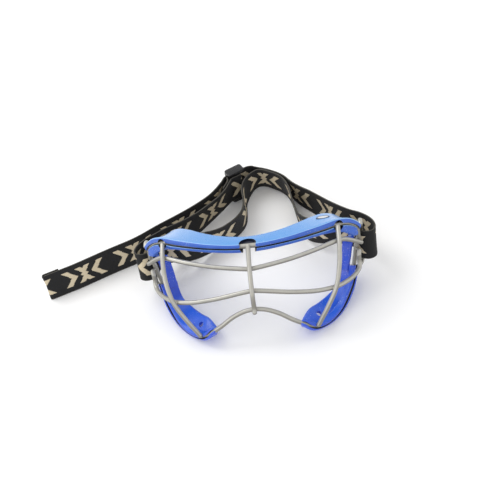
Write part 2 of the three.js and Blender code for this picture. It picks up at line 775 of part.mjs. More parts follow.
// One strip of webbing through all its stops, cut to pieces that lie end to end
function stripPieces(stretches) {
  const stops = stretches.flatMap((s) => s.stops);
  const path = new THREE.CatmullRomCurve3(stops.map((s) => s.place), false, "centripetal");
  path.arcLengthDivisions = (stops.length - 1) * stepsPerStop;
  const lengths = path.getLengths();
  const stopAt = stops.map((_, i) => lengths[i * stepsPerStop]);
  // The strip's width at a distance: upright where it stands free, leaning back and tipped where told
  const widthAt = (distance, along) => {
    const passed = stopAt.filter((d) => d <= distance).length;
    const i = Math.min(Math.max(passed, 1), stops.length - 1);
    const share = Math.min((distance - stopAt[i - 1]) / (stopAt[i] - stopAt[i - 1]), 1);
    const lean = THREE.MathUtils.lerp(stops[i - 1].lean, stops[i].lean, share);
    const tip = THREE.MathUtils.lerp(stops[i - 1].tip, stops[i].tip, share);
    const right = new THREE.Vector3(along.y, -along.x, 0).normalize();
    const up = new THREE.Vector3(0, Math.sin(lean), Math.cos(lean)).addScaledVector(right, Math.tan(tip));
    return up.addScaledVector(along, -up.dot(along)).normalize();
  };
  const outline = [
    [-strapWidth / 2, -strapThickness / 2],
    [strapWidth / 2, -strapThickness / 2],
    [strapWidth / 2, strapThickness / 2],
    [-strapWidth / 2, strapThickness / 2],
  ].map(([x, y]) => new THREE.Vector2(x, y));
  const total = lengths.at(-1);
  const station = (distance) => {
    const along = path.getTangentAt(distance / total);
    const up = widthAt(distance, along);
    return { origin: path.getPointAt(distance / total), u: up, v: along.clone().cross(up), outline };
  };

  const pieces = [];
  let first = 0;
  for (const { name, stops: own } of stretches) {
    const last = first + own.length;
    const start = stopAt[first] + (first > 0 ? seamGap : 0);
    const end = last < stops.length ? stopAt[last] : total;
    const stations = [station(start)];
    let turned = 0;
    let before = stations[0];
    let placed = start;
    const fine = strapThickness / 4;
    for (let distance = start + fine; distance < end - fine; distance += fine) {
      const here = station(distance);
      turned += here.v.angleTo(before.v);
      before = here;
      if (turned > strapBend || distance - placed > strapStep) {
        stations.push(here);
        placed = distance;
        turned = 0;
      }
    }
    stations.push(station(end));
    pieces.push(piece(name, loft(stations), webbingLook));
    first = last;
  }
  return pieces;
}

const leftLeg = leftLegShares.map(strapStop);
const tail = tailShares.map(strapStop);
const tailEnd = foldedEnd(tail.at(-1), tail.at(-2));
const sewn = sewnEndStops(leftLeg.slice(0, sewnLapStops));
const throughSlider = [
  sliderStop(sliderLength / 2 + sliderSlack, 0),
  sliderStop(0, 0),
  sliderStop(-sliderLength / 2 - sliderSlack, 0),
];
const strap = new THREE.Group();
strap.add(
  ...stripPieces([
    { name: "strap_sewn_lap", stops: sewn.lap },
    { name: "strap_left_leg", stops: [sewn.exit, ...leftLeg] },
    { name: "strap_left_loop", stops: leftLoopShares.map(strapStop) },
    { name: "strap_left_inner", stops: leftInnerShares.map(strapStop) },
    { name: "strap_waist", stops: waistShares.map(strapStop) },
    { name: "strap_arch", stops: archShares.map(strapStop) },
    { name: "strap_right_inner", stops: rightInnerShares.map(strapStop) },
    { name: "strap_right_loop", stops: rightLoopShares.map(strapStop) },
    { name: "strap_right_leg", stops: rightLegShares.map(strapStop) },
    { name: "strap_slider_stretch", stops: throughSlider },
    { name: "strap_tail", stops: [...tail.slice(0, -1), ...tailEnd.straight, tail.at(-1)] },
    { name: "strap_tail_fold", stops: tailEnd.fold },
  ]),
);

// Slider: two rails joined by three upright bars
function sliderFrame() {
  const railIn = sewnBarOut - sliderBarDiameter / 2 - sliderRim;
  const railOut = barOffset + sliderBarDiameter / 2 + sliderRim;
  const ends = sliderLength / 2 - sliderCorner;
  const outline = new THREE.Shape();
  outline.absarc(ends, railOut - sliderCorner, sliderCorner, 0, Math.PI / 2);
  outline.absarc(-ends, railOut - sliderCorner, sliderCorner, Math.PI / 2, Math.PI);
  outline.absarc(-ends, railIn + sliderCorner, sliderCorner, Math.PI, 1.5 * Math.PI);
  outline.absarc(ends, railIn + sliderCorner, sliderCorner, 1.5 * Math.PI, 2 * Math.PI);
  const toRail = strapWidth / 2 + sliderEdgeClearance;
  const rail = (height) =>
    new THREE.ExtrudeGeometry(outline, {
      depth: sliderRailHeight,
      bevelEnabled: false,
      curveSegments: roundSides / 5,
    }).translate(0, 0, height);
  const overlap = sliderRailHeight / 2;
  const bar = (along, out) =>
    new THREE.CylinderGeometry(
      sliderBarDiameter / 2,
      sliderBarDiameter / 2,
      2 * (toRail + overlap),
      wireSides,
    )
      .rotateX(Math.PI / 2)
      .translate(along, out, 0);
  const barPlace = sliderLength / 2 - sliderBarDiameter / 2;
  let solid = toSolid(rail(toRail)).add(toSolid(rail(-toRail - sliderRailHeight)));
  for (const [along, out] of [[-barPlace, barOffset], [barPlace, barOffset], [0, sewnBarOut]]) {
    solid = solid.add(toSolid(bar(along, out)));
  }
  const frame = piece("slider_frame", fromSolid(solid), plasticLook);
  frame.rotation.z = sliderTurn;
  frame.position.copy(sliderCentre);
  return frame;
}

const part = new THREE.Group();
part.add(goggles, strap, sliderFrame());
part.updateMatrixWorld(true);
const box = new THREE.Box3().setFromObject(part, true);
part.position.set(-(box.min.x + box.max.x) / 2, -(box.min.y + box.max.y) / 2, -box.min.z);
part.updateMatrixWorld(true);

export default part;
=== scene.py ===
"""Lacrosse goggles on a pale table: a wire cage in blue silicone, on a looped woven strap."""

import copy
import math
from math import cos, pi, sin

import bmesh
import bpy
import numpy as np
from numpy.linalg import norm
from mathutils import Matrix, Vector


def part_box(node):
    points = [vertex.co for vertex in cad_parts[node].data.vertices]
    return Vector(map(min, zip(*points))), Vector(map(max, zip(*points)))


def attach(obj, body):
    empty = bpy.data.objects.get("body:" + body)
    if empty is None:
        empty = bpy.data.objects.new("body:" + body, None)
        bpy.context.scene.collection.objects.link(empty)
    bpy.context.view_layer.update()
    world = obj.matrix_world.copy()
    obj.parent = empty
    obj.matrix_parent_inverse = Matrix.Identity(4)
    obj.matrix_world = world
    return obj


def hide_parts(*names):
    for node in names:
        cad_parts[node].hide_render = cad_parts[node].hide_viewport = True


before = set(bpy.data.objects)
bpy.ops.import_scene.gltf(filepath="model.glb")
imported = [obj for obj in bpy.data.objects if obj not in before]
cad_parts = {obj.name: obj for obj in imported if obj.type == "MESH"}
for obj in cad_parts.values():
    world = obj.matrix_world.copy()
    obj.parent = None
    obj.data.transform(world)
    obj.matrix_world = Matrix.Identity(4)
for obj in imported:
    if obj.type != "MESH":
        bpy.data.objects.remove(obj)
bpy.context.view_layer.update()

MM = 0.001
LEAN = math.radians(38)
# The way that the brow's top faces in the part frame. The painted top reflection, the painted edge highlight
# and the wire's painted underside shade all follow it
TOP_WAY = (0.0, 0.44, 0.9)

# Camera, in the goggles' own frame: its turn, pitch and roll, and its place in millimetres
CAMERA_TURN, CAMERA_PITCH, CAMERA_ROLL = np.radians([6.211, 7.11, -6.635])
CAMERA_PLACE = (61.3, -546.8, 138.4)
FOCAL_SHARE = 760.7 / 500
SENSOR = 36

# Light and table, in metres
LIGHT_TARGET = (0, -0.02, 0.03)
WORLD_STRENGTH = 0.93
TABLE_HALF = 6.0

# Steps that a curve is measured in, for each of its points
FINE_STEPS = 40

# Frame
FRAME = np.array([80.0, 50.0, 80.0])
WIRE = 3.5
WELD_GAP = 0.35
WIRE_PITCH = WIRE + WELD_GAP
CROSSING_ANGLE = math.radians(22)
CROSSING_STEP = WIRE_PITCH / cos(CROSSING_ANGLE)
WIRE_END = 1.2
UPRIGHT_END, UPRIGHT_TOP = 2.0, 3.0
FOOT_STEPS = 9
END_STEPS, CENTRE_FOOT_STEPS = 4, 12
RIM_STEP, ROD_STEP = 1.2, 1.0
WIRE_SIDES, CAP_STEPS = 20, 5
# The angle, in degrees, over which an edge is shaded sharp
WIRE_CREASE, SILICONE_CREASE, STRAP_CREASE, SLIDER_CREASE = 60, 35, 50, 45
CAP_REACH_SHARE, CAP_BLUNT = 0.8, 0.4
WELD_LIMIT_SHARE, WELD_REACH_SHARE = 1.7, 0.36
WELD_WAIST_SHARE, WELD_FLARE_SHARE = 0.3, 0.2
WELD_RINGS, WELD_SIDES = 9, 16

# Silicone
GRIP_CLEARANCE = 0.12
GRIP = WIRE / 2 + GRIP_CLEARANCE
GROOVE_OPENING = 1.6
GROOVE_WALL = 0.6
LIP_REACH = 3.2
LIP_CORNER = 0.9
MOUTH_ROUND = 0.9
SEAT_ROUND, INNER_ROUND, SHOULDER_ROUND = 0.3, 0.8, 2.5
BROW_ROUND, CHEEK_ROUND, BLOCK_ROUND, BLOCK_BACK_ROUND = 1.1, 0.9, 1.4, 1.6
EDGE_ROUND_SHARE, BAND_ROUND_SHARE, RIM_ROUND_SHARE = 0.45, 0.4, 0.3
# A rounded corner takes at most this share of the shorter edge beside it
ROUNDED_SHARE = 0.48
GROOVE_SIDES = 14
GROOVE_COLUMNS = GROOVE_SIDES + 4
BROW_LIP = 4.6
BROW_LOWER_LIP = 2.6
BROW_END_BLOCK = 7.2
BROW_WALL = 3.2
CHEEK_OUTER_LIP = 2.2
CHEEK_INNER_LIP = 2.4
CHEEK_WALL = 2.6
GRIP_WEB = 1.6
WEB = GRIP + GRIP_WEB
BAND_INSET = 4.4
BAND_SINK = 0.1
CENTRE_NOTCH = 6.4
SIDE_NOTCH = 4.2
NOTCH_DEPTH = 9.0
BITE_DEPTH = 2.6
MOULDING_STEP = 1.1
# A stretch's ends: the length that is rounded and the share of its size that it loses there
ROUND_END, FLUSH_END, TIP_END = (1.6, 0.16), (1.0, 0.0), (3.4, 0.5)
CUT_CLEARANCE = 0.5
CUT_WIRE = WIRE + CUT_CLEARANCE
HOLE_LENGTH = 14
VENT_HOLE = 2.2
BADGE_LENGTH, BADGE_WIDTH, BADGE_THICKNESS, BADGE_INSET = 11.5, 6.5, 0.8, 0.5
BADGE_ROW, BADGE_REACH, BADGE_ACROSS = 4.9, 0.3, 0.62
BADGE_SIDES, BADGE_RIM_RINGS = 48, 5
POCKET_CLEARANCE, POCKET_LOW, POCKET_HIGH = 0.4, -0.1, 6
BADGE_RINGS = ((1, 0), (1, 0.7), (0.97, 0.9), (0.92, 1), (0.8, 1), (0.76, 0.86), (0.2, 0.9))

# Strap
STRAP_WIDTH = 25.4
STRAP_THICKNESS = 1.4
LAYER_GAP = 0.35
LAYER = STRAP_THICKNESS + LAYER_GAP
STRAP_SPREAD = 100.0
STRAP_DEPTH = 100.0
STRAP_LEAN = math.radians(14)
STRAP_TIP = math.radians(13)
SEWN_LAP_GAP = 1.0
TAIL_FOLD = 12.0
TAIL_FOLD_GAP = 1.0
SLIDER_LENGTH = 16.5
SLIDER_BAR = 2.2
SLIDER_RAIL = 3.0
SLIDER_CLEARANCE = 0.5
SLIDER_SLACK = 1.5
SLIDER_RIM = 0.7
SLIDER_CORNER = 2.0
SLIDER_TURN = math.radians(30)
SLIDER_RINGS, SLIDER_BAR_SIDES, SLIDER_CORNER_STEPS = 9, 20, 8
RAIL_BULGE, RAIL_BULGE_POWER = 0.1, 3.2
BAR_FLARE, BAR_FLARE_START, BAR_SINK = 0.18, 0.85, 0.6
TURN_STEPS = 6
TAIL_STRAIGHT_SHARES, TAIL_FOLD_SHARES = (1.2, 0.6), (0, 0.3, 0.65, 1)
STRIP_STEP = 0.7
HEM, FACE_SHARE, FACE_COLUMNS = 1.6, 0.86, 15
# A hem's points: the distance in from the edge, and the share of half the thickness
HEM_SHAPE = [(1.2, 0.95), (0.7, 1), (0.25, 0.8), (0, 0.35)]
STITCH_ROWS, STITCH_REACH, STITCH_PITCH = 4, 10.5, 1.9
STITCH_HALF, STITCH_DIAMETER, STITCH_SINK_SHARE = 0.75, 0.42, 0.9
LAP_STITCHES, FOLD_STITCHES = (2.0, 9.0), (10.0, 2.0)

# Points of the wires and of the pads' edge at the face: shares of FRAME, from the middle to the right
RIM_WIRE = [
    (0, 0.14, 0.903), (0.163, 0.158, 0.908), (0.313, 0.196, 0.921), (0.463, 0.26, 0.937),
    (0.6, 0.326, 0.956), (0.713, 0.396, 0.974), (0.825, 0.496, 0.99), (0.938, 0.63, 0.979),
    (1.016, 0.74, 0.92), (1.023, 0.786, 0.838), (0.998, 0.824, 0.763), (0.979, 0.89, 0.65),
    (0.955, 0.95, 0.535), (0.925, 0.92, 0.413), (0.875, 0.83, 0.3), (0.788, 0.7, 0.179),
    (0.675, 0.54, 0.095), (0.569, 0.4, 0.066), (0.488, 0.308, 0.075), (0.434, 0.246, 0.11),
    (0.338, 0.166, 0.168), (0.214, 0.1, 0.252), (0.1, 0.068, 0.3), (0, 0.06, 0.314),
]
FACE_EDGE = [
    (0, 0.3, 0.981), (0.15, 0.32, 0.991), (0.313, 0.39, 1.015), (0.475, 0.54, 1.05), (0.6, 0.72, 1.079),
    (0.719, 0.87, 1.09), (0.825, 0.99, 1.056), (0.894, 1.05, 0.988), (0.913, 1.08, 0.906),
    (0.9, 1.09, 0.825), (0.881, 1.1, 0.75), (0.858, 1.116, 0.65), (0.838, 1.12, 0.538),
    (0.821, 1.11, 0.438), (0.79, 1.1, 0.345), (0.681, 0.94, 0.27), (0.575, 0.74, 0.225),
    (0.475, 0.56, 0.191), (0.406, 0.45, 0.106), (0.392, 0.36, 0.085),
]
# At each row of the rim: shares of the way from BROW_LOWER_LIP to BROW_END_BLOCK, and of BROW_LIP
BROW_BLOCK = [0.25, 0.24, 0.18, 0.1, 0.03, 0.05, 0.35, 0.85, 1, 1]
BROW_LIPS = [0.76, 0.78, 0.84, 0.92, 0.98, 1, 0.98, 0.82, 0.64, 0.6]
# What is left of a cheek pad's section over its last rows
TIP = [0.35, 0.8, 1]
TIP_ROWS = 0.9
# Rows of the rim: row 2.5 is halfway from its point 2 to its point 3
BROW_END_ROW = 8.15
BLOCK_ROWS = (7.9, 8.75)
BAND_ROWS = (8.95, 12.4)
CHEEK_ROWS = (11.9, 19.3)
SIDE_NOTCH_ROW = 6
VENT_HOLE_ROW = 16.5

UPPER_CROSS = [
    (0, -0.034, 0.694), (0.07, -0.03, 0.7), (0.375, 0.036, 0.744), (0.625, 0.126, 0.798),
    (0.835, 0.276, 0.846), (0.925, 0.44, 0.846),
]
LOWER_CROSS = [
    (0, -0.066, 0.493), (0.08, -0.062, 0.485), (0.375, -0.006, 0.44), (0.6, 0.062, 0.422),
    (0.769, 0.15, 0.43), (0.871, 0.34, 0.437), (1, 0.6, 0.485), (1.058, 0.77, 0.545),
    (1.062, 0.82, 0.61), (1.05, 0.838, 0.665),
]
UPPER_END_ROW, LOWER_END_ROW = 9.45, 10.4
SIDE_UPRIGHT = [
    (0.835, 0.276, 0.836), (0.816, 0.164, 0.644), (0.769, 0.15, 0.444), (0.68, 0.19, 0.268),
]
SIDE_TOP_ROW, SIDE_END_ROW = 5.85, 17.4
CENTRE_UPRIGHT = [
    (0, -0.034, 0.694), (0, -0.066, 0.493),
]
STRAP_BAR = [
    (1.056, 0.776, 0.95), (1.056, 0.82, 0.981), (1.056, 0.89, 0.981), (1.056, 0.916, 0.9375),
    (1.056, 1.026, 0.784), (1.056, 1.128, 0.641), (1.053, 1.13, 0.594), (1.036, 1.07, 0.556),
    (1.004, 1, 0.53),
]
STRAP_BAR_MIDDLE = 4

# Strap stops: shares of spread, depth, rise, lean, tip and lift, in stretches from the sewn end to the
# tail. What a stop leaves out is 0.
LEFT_LEG = [
    (-0.24, 0.925, 0, 0, -0.5, 1), (-0.285, 0.855, 0, 0, -0.9, 0.8), (-0.342, 0.786, 0, 0, -1, 0.5),
    (-0.432, 0.684, 0.04, 0.03, -0.8, 0.2), (-0.538, 0.552, 0.15, 0.12, -0.5),
    (-0.638, 0.42, 0.35, 0.34, -0.2), (-0.74, 0.3, 0.6, 0.6), (-0.81, 0.205, 0.8, 0.8),
]
LEFT_LOOP = [
    (-0.885, 0.118, 0.93, 0.95), (-0.935, 0.045, 1, 1), (-0.952, -0.02, 1.03, 1), (-0.938, -0.06, 1.05, 1),
    (-0.902, -0.078, 1.06, 1), (-0.856, -0.07, 1.05, 1), (-0.821, -0.041, 1.03, 1), (-0.807, 0.01, 1, 1),
    (-0.8, 0.075, 0.92, 1), (-0.768, 0.128, 0.84, 0.9),
]
ACROSS = [
    (-0.695, 0.153, 0.75, 0.8), (-0.61, 0.172, 0.6, 0.62), (-0.52, 0.232, 0.36, 0.4, 0.1),
    (-0.425, 0.31, 0.12, 0.12, 0.3), (-0.305, 0.39, 0, 0, 0.6), (-0.195, 0.485, 0, 0, 0.7),
    (-0.14, 0.565, 0, 0, 0.5), (-0.115, 0.65, 0, 0, 0.2), (-0.114, 0.74), (-0.122, 0.82, 0, 0, -0.2),
    (-0.12, 0.9, 0, 0, -0.1), (-0.103, 0.965, 0.02), (-0.072, 1.027, 0.04, 0, 0.3),
    (-0.034, 1.072, 0.06, 0, 0.7), (0.012, 1.1, 0.06, 0, 0.9), (0.068, 1.09, 0.06, 0, 0.9),
    (0.123, 1.058, 0.05, 0, 0.8), (0.19, 1.01, 0.04, 0, 0.7), (0.243, 0.953, 0.02, 0, 0.6),
    (0.278, 0.88, 0, 0, 0.5), (0.303, 0.79, 0, 0, 0.4), (0.32, 0.68, 0, 0, 0.5),
    (0.343, 0.55, 0.03, 0, 0.5), (0.378, 0.41, 0.13, 0.08, 0.4), (0.443, 0.297, 0.35, 0.28, 0.2),
    (0.54, 0.226, 0.56, 0.5), (0.64, 0.19, 0.7, 0.7),
]
RIGHT_LOOP = [
    (0.725, 0.15, 0.8, 0.85), (0.783, 0.1, 0.88, 0.95), (0.801, 0.055, 0.95, 1), (0.807, 0.008, 1, 1),
    (0.821, -0.041, 1.03, 1), (0.856, -0.07, 1.05, 1), (0.902, -0.078, 1.06, 1), (0.938, -0.06, 1.05, 1),
    (0.954, -0.02, 1.03, 1), (0.95, 0.035, 1, 1), (0.92, 0.107, 0.93, 0.95),
]
RIGHT_LEG = [
    (0.86, 0.19, 0.82, 0.8), (0.785, 0.27, 0.66, 0.66), (0.705, 0.375, 0.47, 0.47),
    (0.626, 0.49, 0.28, 0.28), (0.545, 0.61, 0.12, 0.12), (0.465, 0.715, 0.03, 0.03),
    (0.39, 0.795, 0, 0, -0.2), (0.335, 0.86, 0, 0, -0.4), (0.3, 0.912, 0, 0, -0.5),
    (0.262, 0.972, 0, 0, -0.6), (0.206, 1.031, 0, 0, -0.7), (0.135, 1.083, 0, 0, -0.8, 0.03),
    (0.077, 1.115, 0, 0, -0.9, 0.12), (0.01, 1.13, 0, 0, -0.9, 0.3), (-0.045, 1.124, 0, 0, -0.7, 0.6),
    (-0.082, 1.106, 0, 0, -0.3, 0.9),
]
TAIL = [
    (-0.31, 0.935, 0, 0, -0.3, 0.95), (-0.36, 0.853, 0, 0.1, -0.2, 0.75),
    (-0.42, 0.779, 0, 0.3, -0.1, 0.45), (-0.54, 0.679, 0, 0.5, 0, 0.15), (-0.7, 0.569, 0, 0.7),
    (-0.85, 0.474, 0, 0.7), (-1.04, 0.344, 0, 0.7), (-1.27, 0.234, 0, 0.7), (-1.55, 0.095, 0, 0.7),
    (-1.765, 0.004, 0, 0.7),
]
SLIDER_PLACE = (-0.19, 1.04)
MIRROR = np.array([-1.0, 1.0, 1.0])


def unit(v):
    return v / norm(v)


class Curve:
    """A centripetal Catmull-Rom curve through points. Place 2.5 is halfway from point 2 to point 3."""

    def __init__(self, points, closed=False):
        self.points = np.array(points, float)
        self.closed = closed
        self.count = len(self.points)
        self.last = self.count if closed else self.count - 1

    def _corner(self, i):
        p = self.points
        if self.closed:
            return p[i % self.count]
        if i < 0:
            return 2 * p[0] - p[1]
        if i >= self.count:
            return 2 * p[-1] - p[-2]
        return p[i]

    def at(self, place):
        i = min(int(math.floor(place)), self.last - 1)
        share = place - i
        a, b, c, d = (self._corner(k) for k in (i - 1, i, i + 1, i + 2))
        spans = [norm(q - p) ** 0.5 for p, q in ((a, b), (b, c), (c, d))]
        before, middle, after = (s if s > 1e-4 else 1 for s in spans)
        leave = ((b - a) / before - (c - a) / (before + middle) + (c - b) / middle) * middle
        reach = ((c - b) / middle - (d - b) / (middle + after) + (d - c) / after) * middle
        square = 2 * b - 2 * c + leave + reach
        return b + share * (leave + share * (-3 * b + 3 * c - 2 * leave - reach + share * square))

    def tangent(self, place):
        step = 1e-3
        return unit(self.at(min(place + step, self.last)) - self.at(max(place - step, 0)))

    def walk(self, step, first=0.0, last=None):
        """Places along the curve, about one step apart."""
        last = self.last if last is None else last
        fine = np.linspace(first, last, int((last - first) * FINE_STEPS) + 2)
        points = np.array([self.at(t) for t in fine])
        lengths = np.concatenate([[0], np.cumsum(norm(np.diff(points, axis=0), axis=1))])
        count = max(2, int(round(lengths[-1] / step)))
        wanted = np.linspace(0, lengths[-1], count + 1)
        return np.interp(wanted, lengths, fine), wanted


def turned(points, angle):
    """Points turned about the X axis."""
    p = np.atleast_2d(np.array(points, float))
    c, s = cos(angle), sin(angle)
    return np.stack([p[:, 0], c * p[:, 1] - s * p[:, 2], s * p[:, 1] + c * p[:, 2]], axis=1)


RIM_HALF = np.array(RIM_WIRE) * FRAME
RIM = Curve(np.vstack([RIM_HALF, RIM_HALF[-2:0:-1] * MIRROR]), closed=True)
FACE_HALF = np.array(FACE_EDGE) * FRAME
FACE = Curve(np.vstack([FACE_HALF[1] * MIRROR, FACE_HALF]))


def find_shift():
    """The step from the turned goggles frame to the part frame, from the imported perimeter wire."""
    places, _ = RIM.walk(1.0)
    mine = turned([RIM.at(t) for t in places], -LEAN)
    low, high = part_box("perimeter_wire")
    theirs = (np.array(low) + np.array(high)) / 2 / MM
    return theirs - (mine.min(0) + mine.max(0)) / 2


SHIFT = find_shift()


def from_goggles(points):
    return turned(points, -LEAN) + SHIFT


def circle(sides):
    """The cosine and sine of each step round a circle."""
    angles = [2 * pi * j / sides for j in range(sides)]
    return [(cos(angle), sin(angle)) for angle in angles]


def link(name, data):
    obj = bpy.data.objects.new(name, data)
    bpy.context.scene.collection.objects.link(obj)
    return obj


def new_mesh(name, vertices, faces):
    """A mesh from points in millimetres."""
    mesh = bpy.data.meshes.new(name)
    mesh.from_pydata([tuple(v) for v in np.asarray(vertices) * MM], [], faces)
    return mesh


def make_object(name, vertices, faces, body, material, smooth_angle=40, uv=None):
    """An object from points in the part frame, riding on a body."""
    mesh = new_mesh(name, vertices, faces)
    if uv is not None:
        layer = mesh.uv_layers.new(name="UVMap")
        for loop in mesh.loops:
            layer.data[loop.index].uv = uv[loop.vertex_index]
    mesh.validate()
    obj = link(name, mesh)
    mesh.materials.append(material)
    shade(obj, smooth_angle)
    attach(obj, body)
    return obj


def shade(obj, angle):
    obj.data.shade_smooth()
    obj.data.set_sharp_from_angle(angle=math.radians(angle))


def grid_faces(rows, columns, closed_rows=False):
    """Faces between rings of vertices, with an end face at each end unless the rows are closed."""
    faces = []
    spans = rows if closed_rows else rows - 1
    for i in range(spans):
        here, after = i * columns, (i + 1) % rows * columns
        for j in range(columns):
            k = (j + 1) % columns
            faces.append((here + j, here + k, after + k, after + j))
    if not closed_rows:
        faces.append(tuple(range(columns))[::-1])
        faces.append(tuple((rows - 1) * columns + j for j in range(columns)))
    return faces


def add_mesh(vertices, faces, more, quads):
    """Adds a body's vertices and faces to lists that hold others."""
    faces += [tuple(i + len(vertices) for i in q) for q in quads]
    vertices += list(more)


def sweep_frames(points, closed):
    """Two axes across a path at each point, carried along it with the least turning."""
    n = len(points)
    if closed:
        tangents = np.roll(points, -1, 0) - np.roll(points, 1, 0)
    else:
        tangents = np.gradient(points, axis=0)
    tangents /= norm(tangents, axis=1)[:, None]
    start = np.cross(tangents[0], [0, 0, 1.0])
    if norm(start) < 0.1:
        start = np.cross(tangents[0], [1.0, 0, 0])
    normals = [unit(start)]
    for i in range(1, n):
        normals.append(unit(normals[-1] - tangents[i] * np.dot(normals[-1], tangents[i])))
    normals = np.array(normals)
    if closed:
        carried = unit(normals[-1] - tangents[0] * np.dot(normals[-1], tangents[0]))
        across = np.cross(tangents[0], normals[0])
        miss = math.atan2(np.dot(carried, across), np.dot(carried, normals[0]))
        for i in range(n):
            turn = -miss * i / n
            across_i = np.cross(tangents[i], normals[i])
            normals[i] = normals[i] * cos(turn) + across_i * sin(turn)
    return tangents, normals, np.cross(tangents, normals)


def tube(points, diameter, closed=False, sides=WIRE_SIDES, cap_steps=CAP_STEPS):
    """Vertices and faces of a round wire with rounded ends."""
    points = np.array(points, float)
    radius = diameter / 2
    tangents, normals, across = sweep_frames(points, closed)
    rings = [(point, 1.0, i) for i, point in enumerate(points)]
    if not closed:
        for end, sign in ((0, -1), (len(points) - 1, 1)):
            cap = []
            for k in range(1, cap_steps + 1):
                angle = pi / 2 * k / (cap_steps + CAP_BLUNT)
                centre = points[end] + sign * tangents[end] * radius * CAP_REACH_SHARE * sin(angle)
                cap.append((centre, cos(angle), end))
            rings = cap[::-1] + rings if end == 0 else rings + cap
    vertices = []
    for centre, size, i in rings:
        vertices += [centre + (normals[i] * c + across[i] * s) * radius * size for c, s in circle(sides)]
    return np.array(vertices), grid_faces(len(rings), sides, closed)


def rod_points(points):
    curve = Curve(points)
    places, _ = curve.walk(ROD_STEP)
    return np.array([curve.at(t) for t in places])


def lerp_share(values, row):
    return float(np.interp(row, range(len(values)), values))


class Station:
    """A section at a row of the rim: back runs from the wire to the face edge, out away from the cage,
    and square is the part of back that is square to the wire."""

    def __init__(self, row):
        along = RIM.tangent(row) if row > 0 else np.array([1.0, 0, 0])
        self.wire = RIM.at(row)
        back = FACE.at(min(row + 1, FACE.count - 1)) - self.wire
        self.reach = norm(back)
        self.back = back / self.reach
        self.out = unit(np.cross(along, self.back))
        self.square = np.cross(self.out, along)
        self.stretch = 1 / np.dot(self.square, self.back)

    def mirrored(self):
        other = copy.copy(self)
        other.wire, other.back, other.out = self.wire * MIRROR, self.back * MIRROR, self.out * MIRROR
        return other

    def place(self, x, y):
        return self.wire + self.back * x + self.out * y


def beside_rim(row, turn=0.0):
    s = Station(row)
    return s.wire - CROSSING_STEP * (s.square * cos(turn) + s.out * sin(turn))


def cross_wire_path(shares, end_row, end_length):
    half = np.array(shares) * FRAME
    points = np.vstack([half[:0:-1] * MIRROR, half])
    curve = Curve(points)
    behind = []
    for i, p in enumerate(points):
        along = curve.tangent(i)
        inward = unit(np.array([-along[1], along[0], 0]))
        behind.append(p + inward * CROSSING_STEP)
    end = beside_rim(end_row)
    ends = [end]
    if end_length > 0:
        ends.append(end + unit(end - behind[-1]) * end_length)
    return np.vstack([np.array(ends)[::-1] * MIRROR, behind, ends])


def rounded(corners, steps=4):
    """A closed outline whose corners, given as x, y and radius, are rounded."""
    outline = []
    n = len(corners)
    for i, (x, y, radius) in enumerate(corners):
        here = np.array([x, y])
        before = np.array(corners[i - 1][:2]) - here
        after = np.array(corners[(i + 1) % n][:2]) - here
        if radius <= 0:
            outline.append(here)
            continue
        a, b = unit(before), unit(after)
        half = math.acos(np.clip(np.dot(a, b), -1, 1)) / 2
        shorter = min(norm(before), norm(after))
        cut = min(radius / math.tan(half), ROUNDED_SHARE * shorter)
        true_radius = cut * math.tan(half)
        centre = here + unit(a + b) * true_radius / sin(half)
        first, last = here + a * cut - centre, here + b * cut - centre
        for k in range(steps + 1):
            t = k / steps
            v = first * (1 - t) + last * t
            outline.append(centre + unit(v) * true_radius)
    return np.array(outline)


def channel_outline(station, outer_lip, inner_lip, wall, lip_round):
    reach, stretch = station.reach, station.stretch
    mouth = GROOVE_OPENING / 2
    mouth_angle = math.asin(mouth / GRIP)
    front = -LIP_REACH * stretch
    web = WEB * stretch
    top, bottom = mouth + outer_lip, -mouth - inner_lip
    shoulder = max(top * (reach - web) / (reach - front), GRIP + GROOVE_WALL)
    corners = [
        (front, -mouth, MOUTH_ROUND),
        (front, bottom + LIP_CORNER, lip_round),
        (front + LIP_CORNER, bottom, lip_round),
        (GRIP * stretch, bottom, INNER_ROUND),
        (web, shoulder - wall, INNER_ROUND),
        (reach - wall / 2, -wall, wall * EDGE_ROUND_SHARE),
        (reach, -wall / 2, wall * RIM_ROUND_SHARE),
        (reach, 0, wall * RIM_ROUND_SHARE),
        (web, shoulder, SHOULDER_ROUND),
        (front + LIP_CORNER, top, lip_round),
        (front, top - LIP_CORNER, lip_round),
        (front, mouth, MOUTH_ROUND),
    ]
    for i in range(GROOVE_SIDES + 1):
        angle = pi - mouth_angle - i / GROOVE_SIDES * 2 * (pi - mouth_angle)
        corners.append((GRIP * stretch * cos(angle), GRIP * sin(angle), 0))
    return rounded(corners)


def band_outline(row, station):
    wall, reach = CHEEK_WALL - BAND_SINK, station.reach - BAND_SINK
    side, rim = wall * BAND_ROUND_SHARE, wall * RIM_ROUND_SHARE
    return rounded([
        (BAND_INSET, -wall, side),
        (reach - wall / 2, -wall, side),
        (reach, -wall / 2, rim),
        (reach - wall / 2, 0, side),
        (BAND_INSET, 0, side),
        (BAND_INSET - wall / 2, -wall / 2, rim),
    ])


def end_sizes(lengths, ends):
    """How much of its size a section keeps near a stretch's rounded ends."""
    sizes = []
    for d in lengths:
        size = 1.0
        for near, (radius, loss) in ((d, ends[0]), (lengths[-1] - d, ends[1])):
            share = min(near / radius, 1)
            size -= loss * (1 - math.sqrt(1 - (1 - share) ** 2))
        sizes.append(size)
    return sizes


